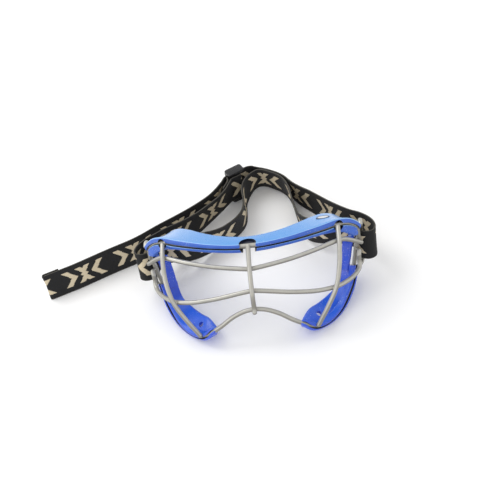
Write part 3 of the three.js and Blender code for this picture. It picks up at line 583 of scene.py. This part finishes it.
def moulding(rows, outline_at, mirrored=False, ends=(ROUND_END, ROUND_END)):
    """A silicone strip along rows of the rim. mirrored doubles it across the goggles' middle."""
    places, lengths = RIM.walk(MOULDING_STEP, rows[0], rows[1])
    sections = []
    for row in places:
        station = Station(row)
        sections.append((station, outline_at(row, station)))
    if mirrored:
        sections = [(station.mirrored(), outline) for station, outline in sections[:0:-1]] + sections
        lengths = np.linspace(0, 2 * lengths[-1], len(sections))
    vertices = []
    for (station, outline), size in zip(sections, end_sizes(lengths, ends)):
        middle = outline.mean(0)
        vertices += [station.place(x, y) for x, y in middle + (outline - middle) * size]
    return np.array(vertices), grid_faces(len(sections), len(sections[0][1]))


def plug(centre, direction, radius, length, sides=32):
    points = np.array([centre - direction * length / 2, centre + direction * length / 2])
    side = unit(np.cross(direction, [0.3, 0.5, 0.8]))
    other = np.cross(direction, side)
    vertices = [p + radius * (side * c + other * s) for p in points for c, s in circle(sides)]
    return np.array(vertices), grid_faces(2, sides)


def cut_away(obj, cutters, look=0):
    """Cuts closed bodies out of an object, given as vertices and faces in the part frame. look is the
    number of the object's material that the cut faces take."""
    for vertices, faces in cutters:
        mesh = new_mesh("cutter", vertices, faces)
        for material in obj.data.materials:
            mesh.materials.append(material)
        for polygon in mesh.polygons:
            polygon.material_index = look
        cutter = link("cutter", mesh)
        bm = bmesh.new()
        bm.from_mesh(mesh)
        bmesh.ops.recalc_face_normals(bm, faces=bm.faces)
        bm.to_mesh(mesh)
        bm.free()
        modifier = obj.modifiers.new("cut", "BOOLEAN")
        modifier.operation = "DIFFERENCE"
        modifier.solver = "EXACT"
        modifier.object = cutter
        bpy.context.view_layer.update()
        depsgraph = bpy.context.evaluated_depsgraph_get()
        result = bpy.data.meshes.new_from_object(obj.evaluated_get(depsgraph))
        obj.modifiers.remove(modifier)
        obj.data = result
        bpy.data.objects.remove(cutter)


# Materials

def srgb(red, green, blue):
    """An sRGB colour, 0 to 255, as linear light."""
    def line(c):
        c = c / 255
        return c / 12.92 if c <= 0.04045 else ((c + 0.055) / 1.055) ** 2.4
    return (line(red), line(green), line(blue), 1.0)


BLACK, WHITE = (0, 0, 0, 1), (1, 1, 1, 1)


class Shader:
    """A small helper to write a material's nodes."""

    def __init__(self, name, **inputs):
        self.material = bpy.data.materials.new(name)
        self.material.use_nodes = True
        self.tree = self.material.node_tree
        self.principled = self.tree.nodes["Principled BSDF"]
        for key, value in inputs.items():
            self.principled.inputs[key.replace("_", " ")].default_value = value
        self.where = self.node("ShaderNodeTexCoord").outputs["Object"]

    def node(self, kind, sockets=(), **settings):
        node = self.tree.nodes.new(kind)
        for key, value in settings.items():
            setattr(node, key, value)
        for name, value in dict(sockets).items():
            self.feed(node.inputs[name], value)
        return node

    def feed(self, socket, value):
        """Links a socket to another node's, or sets its value."""
        if isinstance(value, bpy.types.NodeSocket):
            self.tree.links.new(value, socket)
        else:
            socket.default_value = value

    def math(self, operation, a, b=0.0):
        return self.node("ShaderNodeMath", {0: a, 1: b}, operation=operation).outputs[0]

    def plus(self, a, b):
        return self.math("ADD", a, b)

    def times(self, a, b):
        return self.math("MULTIPLY", a, b)

    def snap(self, value, step):
        return self.times(self.math("FLOOR", self.math("DIVIDE", value, step)), step)

    def facing(self, way):
        """How far the surface faces a way, from -1 to 1."""
        sockets = {0: self.node("ShaderNodeNewGeometry").outputs["Normal"], 1: way}
        return self.node("ShaderNodeVectorMath", sockets, operation="DOT_PRODUCT").outputs["Value"]

    def ramp(self, factor, low, high, first, last):
        """first below low, last above high, blended between."""
        node = self.node("ShaderNodeValToRGB", {"Fac": factor})
        node.color_ramp.elements[0].position = low
        node.color_ramp.elements[0].color = first
        node.color_ramp.elements[1].position = high
        node.color_ramp.elements[1].color = last
        return node.outputs["Color"]

    def mix(self, factor, first, last):
        node = self.node("ShaderNodeMix", data_type="RGBA")
        for socket, value in ((0, factor), (6, first), (7, last)):
            self.feed(node.inputs[socket], value)
        return node.outputs[2]

    def noise(self, scale, detail):
        sockets = {"Scale": scale, "Detail": detail, "Vector": self.where}
        return self.node("ShaderNodeTexNoise", sockets).outputs["Fac"]

    def colour(self, value):
        self.feed(self.principled.inputs["Base Color"], value)

    def rough(self, value, span, low):
        self.feed(self.principled.inputs["Roughness"], self.plus(self.times(value, span), low))

    def bump(self, height, strength, distance):
        node = self.node("ShaderNodeBump", {"Height": height, "Strength": strength, "Distance": distance})
        self.feed(self.principled.inputs["Normal"], node.outputs["Normal"])


def wire_material():
    """Satin steel under a thin warm grey coat, with faint wear and handling marks, and painted shade on its
    underside.
    """
    s = Shader("satin_wire", Metallic=0.55)
    cloud = s.noise(260.0, 4.0)
    marks = s.noise(1400.0, 2.0)
    # Painted shade: faces turned down, away from TOP_WAY, are darkened towards a dark grey
    under = s.ramp(s.facing(TOP_WAY), -0.75, 0.1, WHITE, BLACK)
    coat = s.mix(cloud, srgb(172, 170, 162), srgb(196, 194, 186))
    base = s.mix(s.times(under, 0.6), coat, srgb(96, 93, 86))
    wear_and_edge_highlight = s.ramp(marks, 0.66, 0.72, BLACK, WHITE)
    s.colour(s.mix(s.times(wear_and_edge_highlight, 0.5), base, srgb(150, 148, 142)))
    s.rough(cloud, 0.22, 0.24)
    s.bump(marks, 0.12, 0.0001)
    return s.material


def silicone_material(name, deep, bright, painted_sky_reflection, flecks=0.0, painted_edge_highlight=0.0):
    """Moulded silicone: a soft gloss, paler on top from a painted sky reflection and along its rounded top
    edge from a painted highlight, with clouding and pale flecks.
    """
    s = Shader(name, Subsurface_Weight=0.06, Subsurface_Scale=0.002, Coat_Weight=0.5, Coat_Roughness=0.16)
    cloud = s.noise(70.0, 3.0)
    facing = s.facing(TOP_WAY)
    # Painted reflection: faces that turn towards TOP_WAY take the pale sky colour
    painted_top_reflection = s.ramp(facing, 0.35, 0.8, BLACK, WHITE)
    base = s.mix(s.times(painted_top_reflection, 0.92), s.mix(cloud, deep, bright), painted_sky_reflection)
    cells = s.node("ShaderNodeTexVoronoi", {"Vector": s.where, "Scale": 760.0, "Randomness": 1.0})
    near = s.ramp(cells.outputs["Distance"], 0.1, 0.2, WHITE, BLACK)
    some = s.ramp(s.noise(60.0, 2.0), 0.5, 0.62, BLACK, WHITE)
    fleck = s.times(s.times(near, some), flecks)
    # Painted highlight: a pale band where the normal turns from the front to the top, along the rounded edge
    rising = s.ramp(facing, 0.4, 0.55, BLACK, WHITE)
    falling = s.ramp(facing, 0.8, 0.88, WHITE, BLACK)
    wear_and_edge_highlight = s.times(rising, falling)
    edged = s.mix(s.times(wear_and_edge_highlight, painted_edge_highlight), base, srgb(170, 212, 242))
    s.colour(s.mix(fleck, edged, srgb(222, 234, 248)))
    fine = s.noise(2600.0, 2.0)
    s.rough(fine, 0.2, 0.2)
    s.bump(fine, 0.08, 0.0001)
    return s.material


def webbing_material():
    """Woven black elastic: ribs across, hems along, and a woven cream motif in steps of the weave."""
    s = Shader("woven_strap", Roughness=0.9, Sheen_Weight=0.04)
    uv = s.node("ShaderNodeUVMap", uv_map="UVMap").outputs["UV"]
    split = s.node("ShaderNodeSeparateXYZ", {"Vector": uv})
    along, across = split.outputs["X"], split.outputs["Y"]
    # Distances in millimetres, snapped to the weave's picks
    pick, repeat = 0.62, 46.0
    chevron_slope, chevron_pitch, stroke, half_height = 0.9, 11.6, 5.2, 7.9
    first, last, lozenge_size, hem_start = 6.0, 30.0, 3.4, 11.9
    along_step = s.snap(along, pick)
    across_step = s.snap(across, pick)
    phase = s.math("PINGPONG", s.plus(along_step, 1.0), repeat / 2)
    distance = s.math("ABSOLUTE", across_step)
    # Nested chevrons and a lozenge that alternate along the strap
    slope = s.plus(phase, s.times(distance, chevron_slope))
    chevron = s.math("LESS_THAN", s.math("MODULO", slope, chevron_pitch), stroke)
    inside = s.math("LESS_THAN", distance, half_height)
    window = s.times(s.math("GREATER_THAN", slope, first), s.math("LESS_THAN", slope, last))
    from_middle = s.math("ABSOLUTE", s.math("SUBTRACT", phase, repeat / 2))
    lozenge = s.math("LESS_THAN", s.plus(from_middle, distance), lozenge_size)
    figure = s.times(s.times(chevron, inside), window)
    figure = s.math("MAXIMUM", figure, lozenge)
    hem = s.math("GREATER_THAN", distance, hem_start)
    fray = s.noise(900.0, 3.0)
    black = s.mix(fray, srgb(8, 8, 9), srgb(24, 24, 26))
    cream = s.mix(fray, srgb(190, 176, 148), srgb(220, 206, 178))
    thread = s.mix(fray, srgb(72, 70, 64), srgb(118, 114, 104))
    cloth = s.mix(figure, black, cream)
    s.colour(s.mix(s.times(hem, 0.5), cloth, thread))
    rib = s.math("SINE", s.times(along, 2 * pi / (2 * pick)))
    yarn = s.math("SINE", s.times(across, 2 * pi / pick))
    weave = s.plus(s.times(rib, 0.6), s.times(yarn, 0.4))
    s.bump(s.plus(weave, s.times(fray, 0.8)), 0.5, 0.00012)
    return s.material


def plastic_material():
    """Glossy black nylon with faint scuffs."""
    s = Shader("black_nylon")
    cloud = s.noise(400.0, 4.0)
    s.colour(s.mix(cloud, srgb(14, 14, 16), srgb(26, 26, 29)))
    s.rough(cloud, 0.2, 0.16)
    s.bump(s.noise(3000.0, 2.0), 0.1, 0.0001)
    return s.material


def badge_material(name, first, last):
    s = Shader(name, Roughness=0.3)
    cloud = s.noise(300.0, 3.0)
    s.colour(s.mix(cloud, first, last))
    s.bump(s.noise(2400.0, 2.0), 0.1, 0.0001)
    return s.material


def thread_material():
    s = Shader("stitch_thread", Roughness=0.8)
    s.colour(s.mix(s.noise(1500.0, 2.0), srgb(30, 30, 33), srgb(62, 61, 60)))
    return s.material


WIRE_LOOK = wire_material()
# Each silicone look: its deep and bright tones, then the colour of its painted sky reflection
BROW_LOOK = silicone_material(
    "blue_silicone", srgb(34, 84, 188), srgb(48, 106, 208), srgb(78, 152, 222), flecks=0.7, painted_edge_highlight=0.6)
CHEEK_LOOK = silicone_material(
    "blue_silicone_cheek", srgb(26, 66, 196), srgb(40, 88, 218), srgb(44, 102, 226), flecks=0.8)
# Painted shade for the grip groove and for the notches' insides
GROOVE_SHADE_LOOK = silicone_material("groove_shade", srgb(8, 14, 34), srgb(14, 24, 52), srgb(10, 18, 42))
STRAP_LOOK = webbing_material()
PLASTIC_LOOK = plastic_material()
BADGE_LOOK = badge_material("pale_plate", srgb(196, 200, 206), srgb(222, 224, 226))
BADGE_RIM_SHADE_LOOK = badge_material("plate_rim_shade", srgb(46, 62, 92), srgb(70, 88, 120))
THREAD_LOOK = thread_material()


# Cage

def add_wire(name, node, points, closed=False):
    vertices, faces = tube(from_goggles(points), WIRE, closed)
    obj = make_object(name, vertices, faces, "goggles", WIRE_LOOK, WIRE_CREASE)
    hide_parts(node)


def side_upright_points():
    inner = np.array(SIDE_UPRIGHT) * FRAME
    return np.vstack([beside_rim(SIDE_TOP_ROW), inner, beside_rim(SIDE_END_ROW, pi / 4)])


def centre_upright_points():
    nose = RIM_HALF[-1] - np.array([0, WIRE_PITCH, 0])
    shares = np.array(CENTRE_UPRIGHT) * FRAME
    top = beside_rim(0)
    above = top + unit(top - shares[0]) * UPRIGHT_TOP
    return np.vstack([above, top, shares, nose, nose - np.array([0, 0, UPRIGHT_END])])


SIDE_POINTS = side_upright_points()
BAR_POINTS = np.array(STRAP_BAR) * FRAME


def build_cage():
    places, _ = RIM.walk(RIM_STEP)
    rim = np.array([RIM.at(t) for t in places])
    add_wire("rim_wire", "perimeter_wire", rim[:-1], True)
    upper = rod_points(cross_wire_path(UPPER_CROSS, UPPER_END_ROW, WIRE_END))
    lower = rod_points(cross_wire_path(LOWER_CROSS, LOWER_END_ROW, 0))
    centre = rod_points(centre_upright_points())
    side = rod_points(SIDE_POINTS)
    bar = rod_points(BAR_POINTS)
    add_wire("cross_wire_upper", "upper_cross_wire", upper)
    add_wire("cross_wire_lower", "lower_cross_wire", lower)
    add_wire("upright_center", "center_upright", centre)
    for kind, points in (("upright", side), ("strap_bar", bar)):
        for hand, mirror in (("right", 1), ("left", MIRROR)):
            add_wire(f"{kind}_{hand}", f"{hand}_{kind}", points * mirror)
    quarter = len(upper) // 4
    first, last = slice(None, END_STEPS), slice(-END_STEPS, None)
    pairs = [
        (centre, upper), (centre, lower), (side, upper), (side, lower), (side * MIRROR, upper),
        (side * MIRROR, lower), (centre, rim[:len(rim) // 4]), (side, rim), (side * MIRROR, rim),
        (upper[:quarter], rim), (upper[-quarter:], rim),
        (lower[first], rim), (lower[last], rim), (centre[-CENTRE_FOOT_STEPS:], rim),
        (bar[first], rim), (bar[last], rim), (bar[first] * MIRROR, rim), (bar[last] * MIRROR, rim),
    ]
    for i, (a, b) in enumerate(pairs):
        add_weld(f"weld_{i}", a, b)


def add_weld(name, a, b):
    """A small bead where two wires are welded: it bridges them at their nearest points."""
    gaps = norm(a[:, None] - b[None], axis=2)
    if gaps.min() > WIRE * WELD_LIMIT_SHARE:
        return
    i, j = np.unravel_index(gaps.argmin(), gaps.shape)
    way = unit(b[j] - a[i])
    side = unit(np.cross(way, [0.2, 0.4, 0.9]))
    other = np.cross(way, side)
    middle = (a[i] + b[j]) / 2
    length = gaps.min() * WELD_REACH_SHARE
    vertices = []
    for k in range(WELD_RINGS):
        t = -1 + 2 * (k + 0.5) / WELD_RINGS
        size = WIRE * (WELD_WAIST_SHARE + WELD_FLARE_SHARE * t * t)
        centre = middle + way * t * length
        vertices += [centre + size * (side * c + other * s) for c, s in circle(WELD_SIDES)]
    faces = grid_faces(WELD_RINGS, WELD_SIDES)
    make_object(name, from_goggles(vertices), faces, "goggles", WIRE_LOOK, WIRE_CREASE)


# Silicone

def brow_outline(row, station):
    upper = BROW_LIP * lerp_share(BROW_LIPS, row)
    lower = BROW_LOWER_LIP + lerp_share(BROW_BLOCK, row) * (BROW_END_BLOCK - BROW_LOWER_LIP)
    return channel_outline(station, upper, lower, BROW_WALL, BROW_ROUND)


def block_outline(row, station):
    inner = -GROOVE_OPENING / 2 - BROW_END_BLOCK
    front = -LIP_REACH * station.stretch
    return rounded([
        (front, -GRIP, SEAT_ROUND),
        (front, inner + LIP_CORNER, BLOCK_ROUND),
        (front + LIP_CORNER, inner, BLOCK_ROUND),
        (WEB, inner, BLOCK_BACK_ROUND),
        (WEB, -GRIP, SEAT_ROUND),
    ])


def cheek_outline(row, station):
    kept = lerp_share(TIP, (CHEEK_ROWS[1] - row) / TIP_ROWS * (len(TIP) - 1))
    web = WEB * station.stretch
    tapered = copy.copy(station)
    tapered.reach = web + (station.reach - web) * kept
    return channel_outline(tapered, CHEEK_OUTER_LIP, CHEEK_INNER_LIP, CHEEK_WALL * kept, CHEEK_ROUND)


def paint_groove_shade(obj, outline_count):
    """Gives the grip groove, whose sides come last in a channel's outline, a dark look that is painted shade.
    """
    obj.data.materials.append(GROOVE_SHADE_LOOK)
    spans = (len(obj.data.polygons) - 2) // outline_count
    for polygon in obj.data.polygons:
        section, column = divmod(polygon.index, outline_count)
        if section < spans and (column >= outline_count - GROOVE_COLUMNS or column == 0):
            polygon.material_index = 1


def goggle_cutter(vertices_faces, mirrored=False):
    vertices, faces = vertices_faces
    vertices = np.array(vertices) * (MIRROR if mirrored else 1)
    return from_goggles(vertices), faces


def notch(row, radius):
    station = Station(row)
    centre = station.wire + station.square * (WIRE - NOTCH_DEPTH) / 2
    return plug(centre, station.square, radius, NOTCH_DEPTH)


def bite(row, radius):
    """The middle notch also bites into the brow's top."""
    station = Station(row)
    centre = station.wire + station.square * (BITE_DEPTH - LIP_REACH) + station.out * NOTCH_DEPTH / 2
    return plug(centre, station.out, radius, NOTCH_DEPTH)


def brow_top(row, across_share):
    station = Station(row)
    lip = BROW_LIP * lerp_share(BROW_LIPS, row)
    front = station.place(-LIP_REACH * station.stretch, GROOVE_OPENING / 2 + lip)
    return front + across_share * (station.place(station.reach, 0) - front)


def badge_frame():
    middle = brow_top(BADGE_ROW, BADGE_ACROSS)
    across = unit(brow_top(BADGE_ROW, 1) - brow_top(BADGE_ROW, 0))
    onward = brow_top(BADGE_ROW + BADGE_REACH, BADGE_ACROSS)
    along = unit(onward - brow_top(BADGE_ROW - BADGE_REACH, BADGE_ACROSS))
    up = unit(np.cross(along, across))
    return along, np.cross(up, along), up, middle - up * BADGE_INSET


def oval_plate(length, width, low, high, rings=((1, 0), (1, 1)), sides=BADGE_SIDES):
    along, across, up, middle = badge_frame()
    vertices = []
    for size, height in rings:
        level = low + (high - low) * height
        for c, s in circle(sides):
            x, y = length / 2 * size * c, width / 2 * size * s
            vertices.append(middle + along * x + across * y + up * level)
    return np.array(vertices), grid_faces(len(rings), sides)


def build_silicone():
    bar = tube(rod_points(BAR_POINTS), CUT_WIRE)
    upright = tube(rod_points(SIDE_POINTS), CUT_WIRE)
    upright_foot = tube(rod_points(SIDE_POINTS)[-FOOT_STEPS:], CUT_WIRE)
    clearances = [goggle_cutter(rod, side) for rod in (bar, upright) for side in (False, True)]
    vertices, faces = moulding((0, BROW_END_ROW), brow_outline, mirrored=True)
    brow = make_object("brow_gasket", from_goggles(vertices), faces, "goggles", BROW_LOOK)
    paint_groove_shade(brow, len(brow_outline(0, Station(0))))
    pocket_size = BADGE_LENGTH + POCKET_CLEARANCE, BADGE_WIDTH + POCKET_CLEARANCE
    pocket = oval_plate(*pocket_size, POCKET_LOW, POCKET_HIGH)
    side_notches = [goggle_cutter(notch(SIDE_NOTCH_ROW, SIDE_NOTCH), side) for side in (False, True)]
    middle_notch = [goggle_cutter(notch(0, CENTRE_NOTCH)), goggle_cutter(bite(0, CENTRE_NOTCH))]
    # The notches' cut faces take the painted shade look
    cut_away(brow, middle_notch + side_notches, 1)
    cut_away(brow, clearances + [goggle_cutter(pocket)])
    shade(brow, SILICONE_CREASE)
    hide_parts("brow_pad")
    station = Station(VENT_HOLE_ROW)
    hole = plug(station.place(station.reach / 2, 0), station.out, VENT_HOLE, HOLE_LENGTH)
    parts = (
        ("block", BLOCK_ROWS, block_outline, BROW_LOOK, "brow_pad", (ROUND_END, ROUND_END)),
        ("band", BAND_ROWS, band_outline, CHEEK_LOOK, None, (ROUND_END, FLUSH_END)),
        ("cheek", CHEEK_ROWS, cheek_outline, CHEEK_LOOK, None, (FLUSH_END, TIP_END)),
    )
    for side, mirrored in (("right", False), ("left", True)):
        for part, rows, shape, look, node, ends in parts:
            vertices, faces = moulding(rows, shape, ends=ends)
            if mirrored:
                vertices, faces = vertices * MIRROR, [f[::-1] for f in faces]
            name = f"{side}_{part}_gasket"
            obj = make_object(name, from_goggles(vertices), faces, "goggles", look)
            cutters = [goggle_cutter(bar, mirrored)]
            if part == "cheek":
                paint_groove_shade(obj, len(cheek_outline(rows[0], Station(rows[0]))))
                cutters += [goggle_cutter(hole, mirrored), goggle_cutter(upright_foot, mirrored)]
            cut_away(obj, cutters)
            shade(obj, SILICONE_CREASE)
            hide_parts(node or f"{side}_cheek_pad")
    vertices, faces = oval_plate(BADGE_LENGTH, BADGE_WIDTH, 0, BADGE_THICKNESS, BADGE_RINGS)
    badge = make_object("oval_badge", from_goggles(vertices), faces, "goggles", BADGE_LOOK)
    # Painted shade: the plate's wall and raised rim take a dark look for the shade in the pocket's gap around
    # it
    badge.data.materials.append(BADGE_RIM_SHADE_LOOK)
    for polygon in badge.data.polygons:
        polygon.material_index = int(polygon.index < BADGE_RIM_RINGS * BADGE_SIDES)
    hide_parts("brow_badge")


# Strap

ANCHOR = from_goggles(BAR_POINTS[STRAP_BAR_MIDDLE])[0]
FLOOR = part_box("slider_frame")[0].z / MM
STANDING = STRAP_WIDTH / 2
RISE = ANCHOR[2] - FLOOR - STANDING
LIFT = SLIDER_RAIL + SLIDER_CLEARANCE


def strap_stop(share):
    x, y, rise, lean, tip, lift = (*share, 0, 0, 0, 0)[:6]
    height = FLOOR + STANDING + rise * RISE + lift * LIFT
    place = SHIFT[0] + x * STRAP_SPREAD, ANCHOR[1] + y * STRAP_DEPTH, height
    return np.array([*place, lean * STRAP_LEAN, tip * STRAP_TIP])


SLIDER_CENTRE = strap_stop((*SLIDER_PLACE, 0, 0, 0, 1))[:3]
SLIDER_ALONG = np.array([cos(SLIDER_TURN), sin(SLIDER_TURN), 0])
SLIDER_OUT = np.array([-sin(SLIDER_TURN), cos(SLIDER_TURN), 0])
BAR_OFFSET = LAYER - STRAP_THICKNESS / 2 + SLIDER_BAR / 2
SEWN_BAR_OUT = -(BAR_OFFSET + LAYER)


def slider_stop(along, out):
    return np.append(SLIDER_CENTRE + SLIDER_ALONG * along + SLIDER_OUT * out, [0.0, 0.0])


def half_turn():
    """The cosine and sine of each step of a half turn, from straight up to straight down."""
    angles = [pi / 2 - pi * i / TURN_STEPS for i in range(TURN_STEPS + 1)]
    return [(cos(angle), sin(angle)) for angle in angles]


def sewn_end_stops(leg):
    turn = [slider_stop(SLIDER_SLACK + BAR_OFFSET * c, SEWN_BAR_OUT + BAR_OFFSET * s) for c, s in half_turn()]
    beside = []
    for i, stop in enumerate(leg):
        way = leg[i + 1] - stop if i + 1 < len(leg) else stop - leg[i - 1]
        way = unit(np.array([way[0], way[1], 0]))
        moved = stop.copy()
        moved[:3] += np.array([way[1], -way[0], 0]) * (STRAP_THICKNESS + SEWN_LAP_GAP)
        moved[4] = -stop[4]
        beside.append(moved)
    entry = slider_stop(-SLIDER_LENGTH / 2, SEWN_BAR_OUT + BAR_OFFSET)
    leave = slider_stop(-SLIDER_LENGTH / 2 + SLIDER_SLACK, SEWN_BAR_OUT - BAR_OFFSET)
    return beside[::-1] + [entry] + turn + [leave]


def folded_end(last, before):
    along = unit(last[:3] - before[:3])
    side = unit(np.array([along[1], -along[0], 0]))
    radius = (LAYER + LAYER_GAP / 2) / 2
    turn = last[3:]
    straight = [np.append(last[:3] - along * share * TAIL_FOLD, turn) for share in TAIL_STRAIGHT_SHARES]
    fold = []
    for c, s in half_turn():
        place = last[:3] + along * (TAIL_FOLD_GAP + radius * c)
        fold.append(np.append(place + side * radius * (1 - s), turn))
    for share in TAIL_FOLD_SHARES:
        fold.append(np.append(last[:3] - along * share * TAIL_FOLD + side * 2 * radius, turn))
    return straight, fold


def strip_route():
    """Every stop of the strip, from the sewn end's tip to the folded tail's tip."""
    left_leg = [strap_stop(s) for s in LEFT_LEG]
    tail = [strap_stop(s) for s in TAIL]
    straight, fold = folded_end(tail[-1], tail[-2])
    through = [slider_stop(k * (SLIDER_LENGTH / 2 + SLIDER_SLACK), 0) for k in (1, 0, -1)]
    return (
        sewn_end_stops(left_leg[:2]) + left_leg
        + [strap_stop(s) for s in LEFT_LOOP + ACROSS + RIGHT_LOOP + RIGHT_LEG]
        + through + tail[:-1] + straight + [tail[-1]] + fold
    )


def webbing_outline():
    """The webbing's section: flat faces, with a rounded hem along each edge."""
    half, thick = STRAP_WIDTH / 2, STRAP_THICKNESS / 2
    face = [(x, thick * FACE_SHARE) for x in np.linspace(-half + HEM, half - HEM, FACE_COLUMNS)]
    hem = [(half - inset, thick * share) for inset, share in HEM_SHAPE]
    top = [(-x, y) for x, y in hem[::-1]] + face + hem
    return np.array([(x, -y) for x, y in top] + [(x, y) for x, y in top[::-1]])


class Route(Curve):
    """The strip's path. Each stop's lean and tip turn the strip but don't bend the path."""

    def __init__(self, stops):
        super().__init__([s[:3] for s in stops])
        self.leans = [s[3] for s in stops]
        self.tips = [s[4] for s in stops]

    def section(self, place):
        """The strip's place, its way along, the way of its width and the way that it faces."""
        along = self.tangent(place)
        lean, tip = lerp_share(self.leans, place), lerp_share(self.tips, place)
        right = unit(np.array([along[1], -along[0], 0]))
        up = np.array([0, sin(lean), cos(lean)]) + right * math.tan(tip)
        up = unit(up - along * np.dot(up, along))
        return self.at(place), along, up, np.cross(along, up)


def build_strap():
    route = Route(strip_route())
    places, distances = route.walk(STRIP_STEP)
    outline = webbing_outline()
    vertices, uv = [], []
    for place, distance in zip(places, distances):
        here, _, up, face = route.section(place)
        for x, y in outline:
            vertices.append(here + up * x + face * y)
            uv.append((distance, x))
    faces = grid_faces(len(places), len(outline))
    strap = make_object("woven_strap", vertices, faces, "strap", STRAP_LOOK, STRAP_CREASE, uv)
    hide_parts(*[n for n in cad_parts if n.startswith("strap_")])
    stitches = build_stitches(route, places, distances)


def build_stitches(route, places, distances):
    """Box stitching through the sewn lap and the folded tail end."""
    from_tail = [distances[-1] - d for d in FOLD_STITCHES]
    heights = np.arange(-STITCH_REACH, STITCH_REACH, STITCH_PITCH)
    sink = STRAP_THICKNESS / 2 * STITCH_SINK_SHARE
    vertices, faces = [], []
    for low, high in (LAP_STITCHES, from_tail):
        for distance in np.linspace(low, high, STITCH_ROWS):
            here, _, up, face = route.section(float(np.interp(distance, distances, places)))
            for height in heights:
                for sign in (-1, 1):
                    middle = here + up * height + face * sign * sink
                    points = [middle + up * k for k in np.linspace(-STITCH_HALF, STITCH_HALF, 5)]
                    add_mesh(vertices, faces, *tube(points, STITCH_DIAMETER, sides=8, cap_steps=2))
    return make_object("strap_stitches", vertices, faces, "strap", THREAD_LOOK, WIRE_CREASE)


def build_slider():
    """Two rounded rails joined by three bars, with the webbing woven through them."""
    rail_in = SEWN_BAR_OUT - SLIDER_BAR / 2 - SLIDER_RIM
    rail_out = BAR_OFFSET + SLIDER_BAR / 2 + SLIDER_RIM
    half = SLIDER_LENGTH / 2
    corners = ((-half, rail_in), (half, rail_in), (half, rail_out), (-half, rail_out))
    outline = rounded([(x, y, SLIDER_CORNER) for x, y in corners], SLIDER_CORNER_STEPS)
    middle = outline.mean(0)
    to_rail = STRAP_WIDTH / 2 + SLIDER_CLEARANCE
    vertices, faces = [], []
    for low in (to_rail, -to_rail - SLIDER_RAIL):
        rings = []
        for t in np.linspace(0, 1, SLIDER_RINGS):
            bulge = 1 - RAIL_BULGE * abs(2 * t - 1) ** RAIL_BULGE_POWER
            level = low + SLIDER_RAIL * (0.5 - 0.5 * cos(pi * t))
            rings += [(x, y, level) for x, y in middle + (outline - middle) * bulge]
        add_mesh(vertices, faces, rings, grid_faces(SLIDER_RINGS, len(outline)))
    place = half - SLIDER_BAR / 2
    for x, y in ((-place, BAR_OFFSET), (place, BAR_OFFSET), (0, SEWN_BAR_OUT)):
        rings = []
        for t in np.linspace(-1, 1, SLIDER_RINGS):
            flare = 1 + BAR_FLARE * max(0, abs(t) - BAR_FLARE_START) / (1 - BAR_FLARE_START)
            radius, level = SLIDER_BAR / 2 * flare, t * (to_rail + BAR_SINK)
            rings += [(x + radius * c, y + radius * s, level) for c, s in circle(SLIDER_BAR_SIDES)]
        add_mesh(vertices, faces, rings, grid_faces(SLIDER_RINGS, SLIDER_BAR_SIDES))
    placed = [SLIDER_CENTRE + SLIDER_ALONG * x + SLIDER_OUT * y + [0, 0, z] for x, y, z in vertices]
    slider = make_object("strap_slider", placed, faces, "slider", PLASTIC_LOOK, SLIDER_CREASE)
    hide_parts("slider_frame")


# Stage

def build_stage():
    floor_look = Shader("pale_table", Roughness=0.6)
    cloud = floor_look.node("ShaderNodeTexNoise", {"Scale": 3.0, "Detail": 3.0}).outputs["Fac"]
    floor_look.colour(floor_look.mix(cloud, srgb(251, 251, 251), srgb(253, 253, 253)))
    half = TABLE_HALF / MM
    mesh = new_mesh("table", [(-half, -half, 0), (half, -half, 0), (half, half, 0), (-half, half, 0)],
                    [(0, 1, 2, 3)])
    mesh.materials.append(floor_look.material)
    table = link("table", mesh)


def add_light(name, place, size, power):
    data = bpy.data.lights.new(name, "AREA")
    data.shape = "DISK"
    data.size = size
    data.energy = power
    light = link(name, data)
    light.location = place
    way = Vector(LIGHT_TARGET) - Vector(place)
    light.rotation_euler = way.to_track_quat("-Z", "Y").to_euler()


def build_light():
    world = bpy.data.worlds.new("studio")
    bpy.context.scene.world = world
    world.use_nodes = True
    background = world.node_tree.nodes["Background"]
    background.inputs["Color"].default_value = WHITE
    background.inputs["Strength"].default_value = WORLD_STRENGTH
    add_light("key", (-0.6, 0.35, 1.1), size=0.8, power=5.0)
    add_light("fill", (-0.9, -0.5, 0.5), size=0.6, power=1.6)


def build_camera():
    a, e, r = CAMERA_TURN, CAMERA_PITCH, CAMERA_ROLL
    forward = np.array([-sin(a) * cos(e), cos(a) * cos(e), -sin(e)])
    right = np.array([cos(a), sin(a), 0])
    up = np.cross(right, forward)
    rolled_right = right * cos(r) + up * sin(r)
    rolled_up = -right * sin(r) + up * cos(r)
    axes = turned([rolled_right, rolled_up, -forward], -LEAN)
    place = from_goggles(CAMERA_PLACE)[0] * MM
    data = bpy.data.cameras.new("camera")
    data.sensor_width = SENSOR
    data.lens = SENSOR * FOCAL_SHARE
    data.clip_start = 0.01
    camera = link("camera", data)
    camera.matrix_world = Matrix(np.column_stack([*axes, place]).tolist() + [[0, 0, 0, 1]])
    bpy.context.scene.camera = camera


build_camera()
build_cage()
build_silicone()
build_strap()
build_slider()
build_stage()
build_light()
bpy.context.scene.view_settings.view_transform = "Standard"
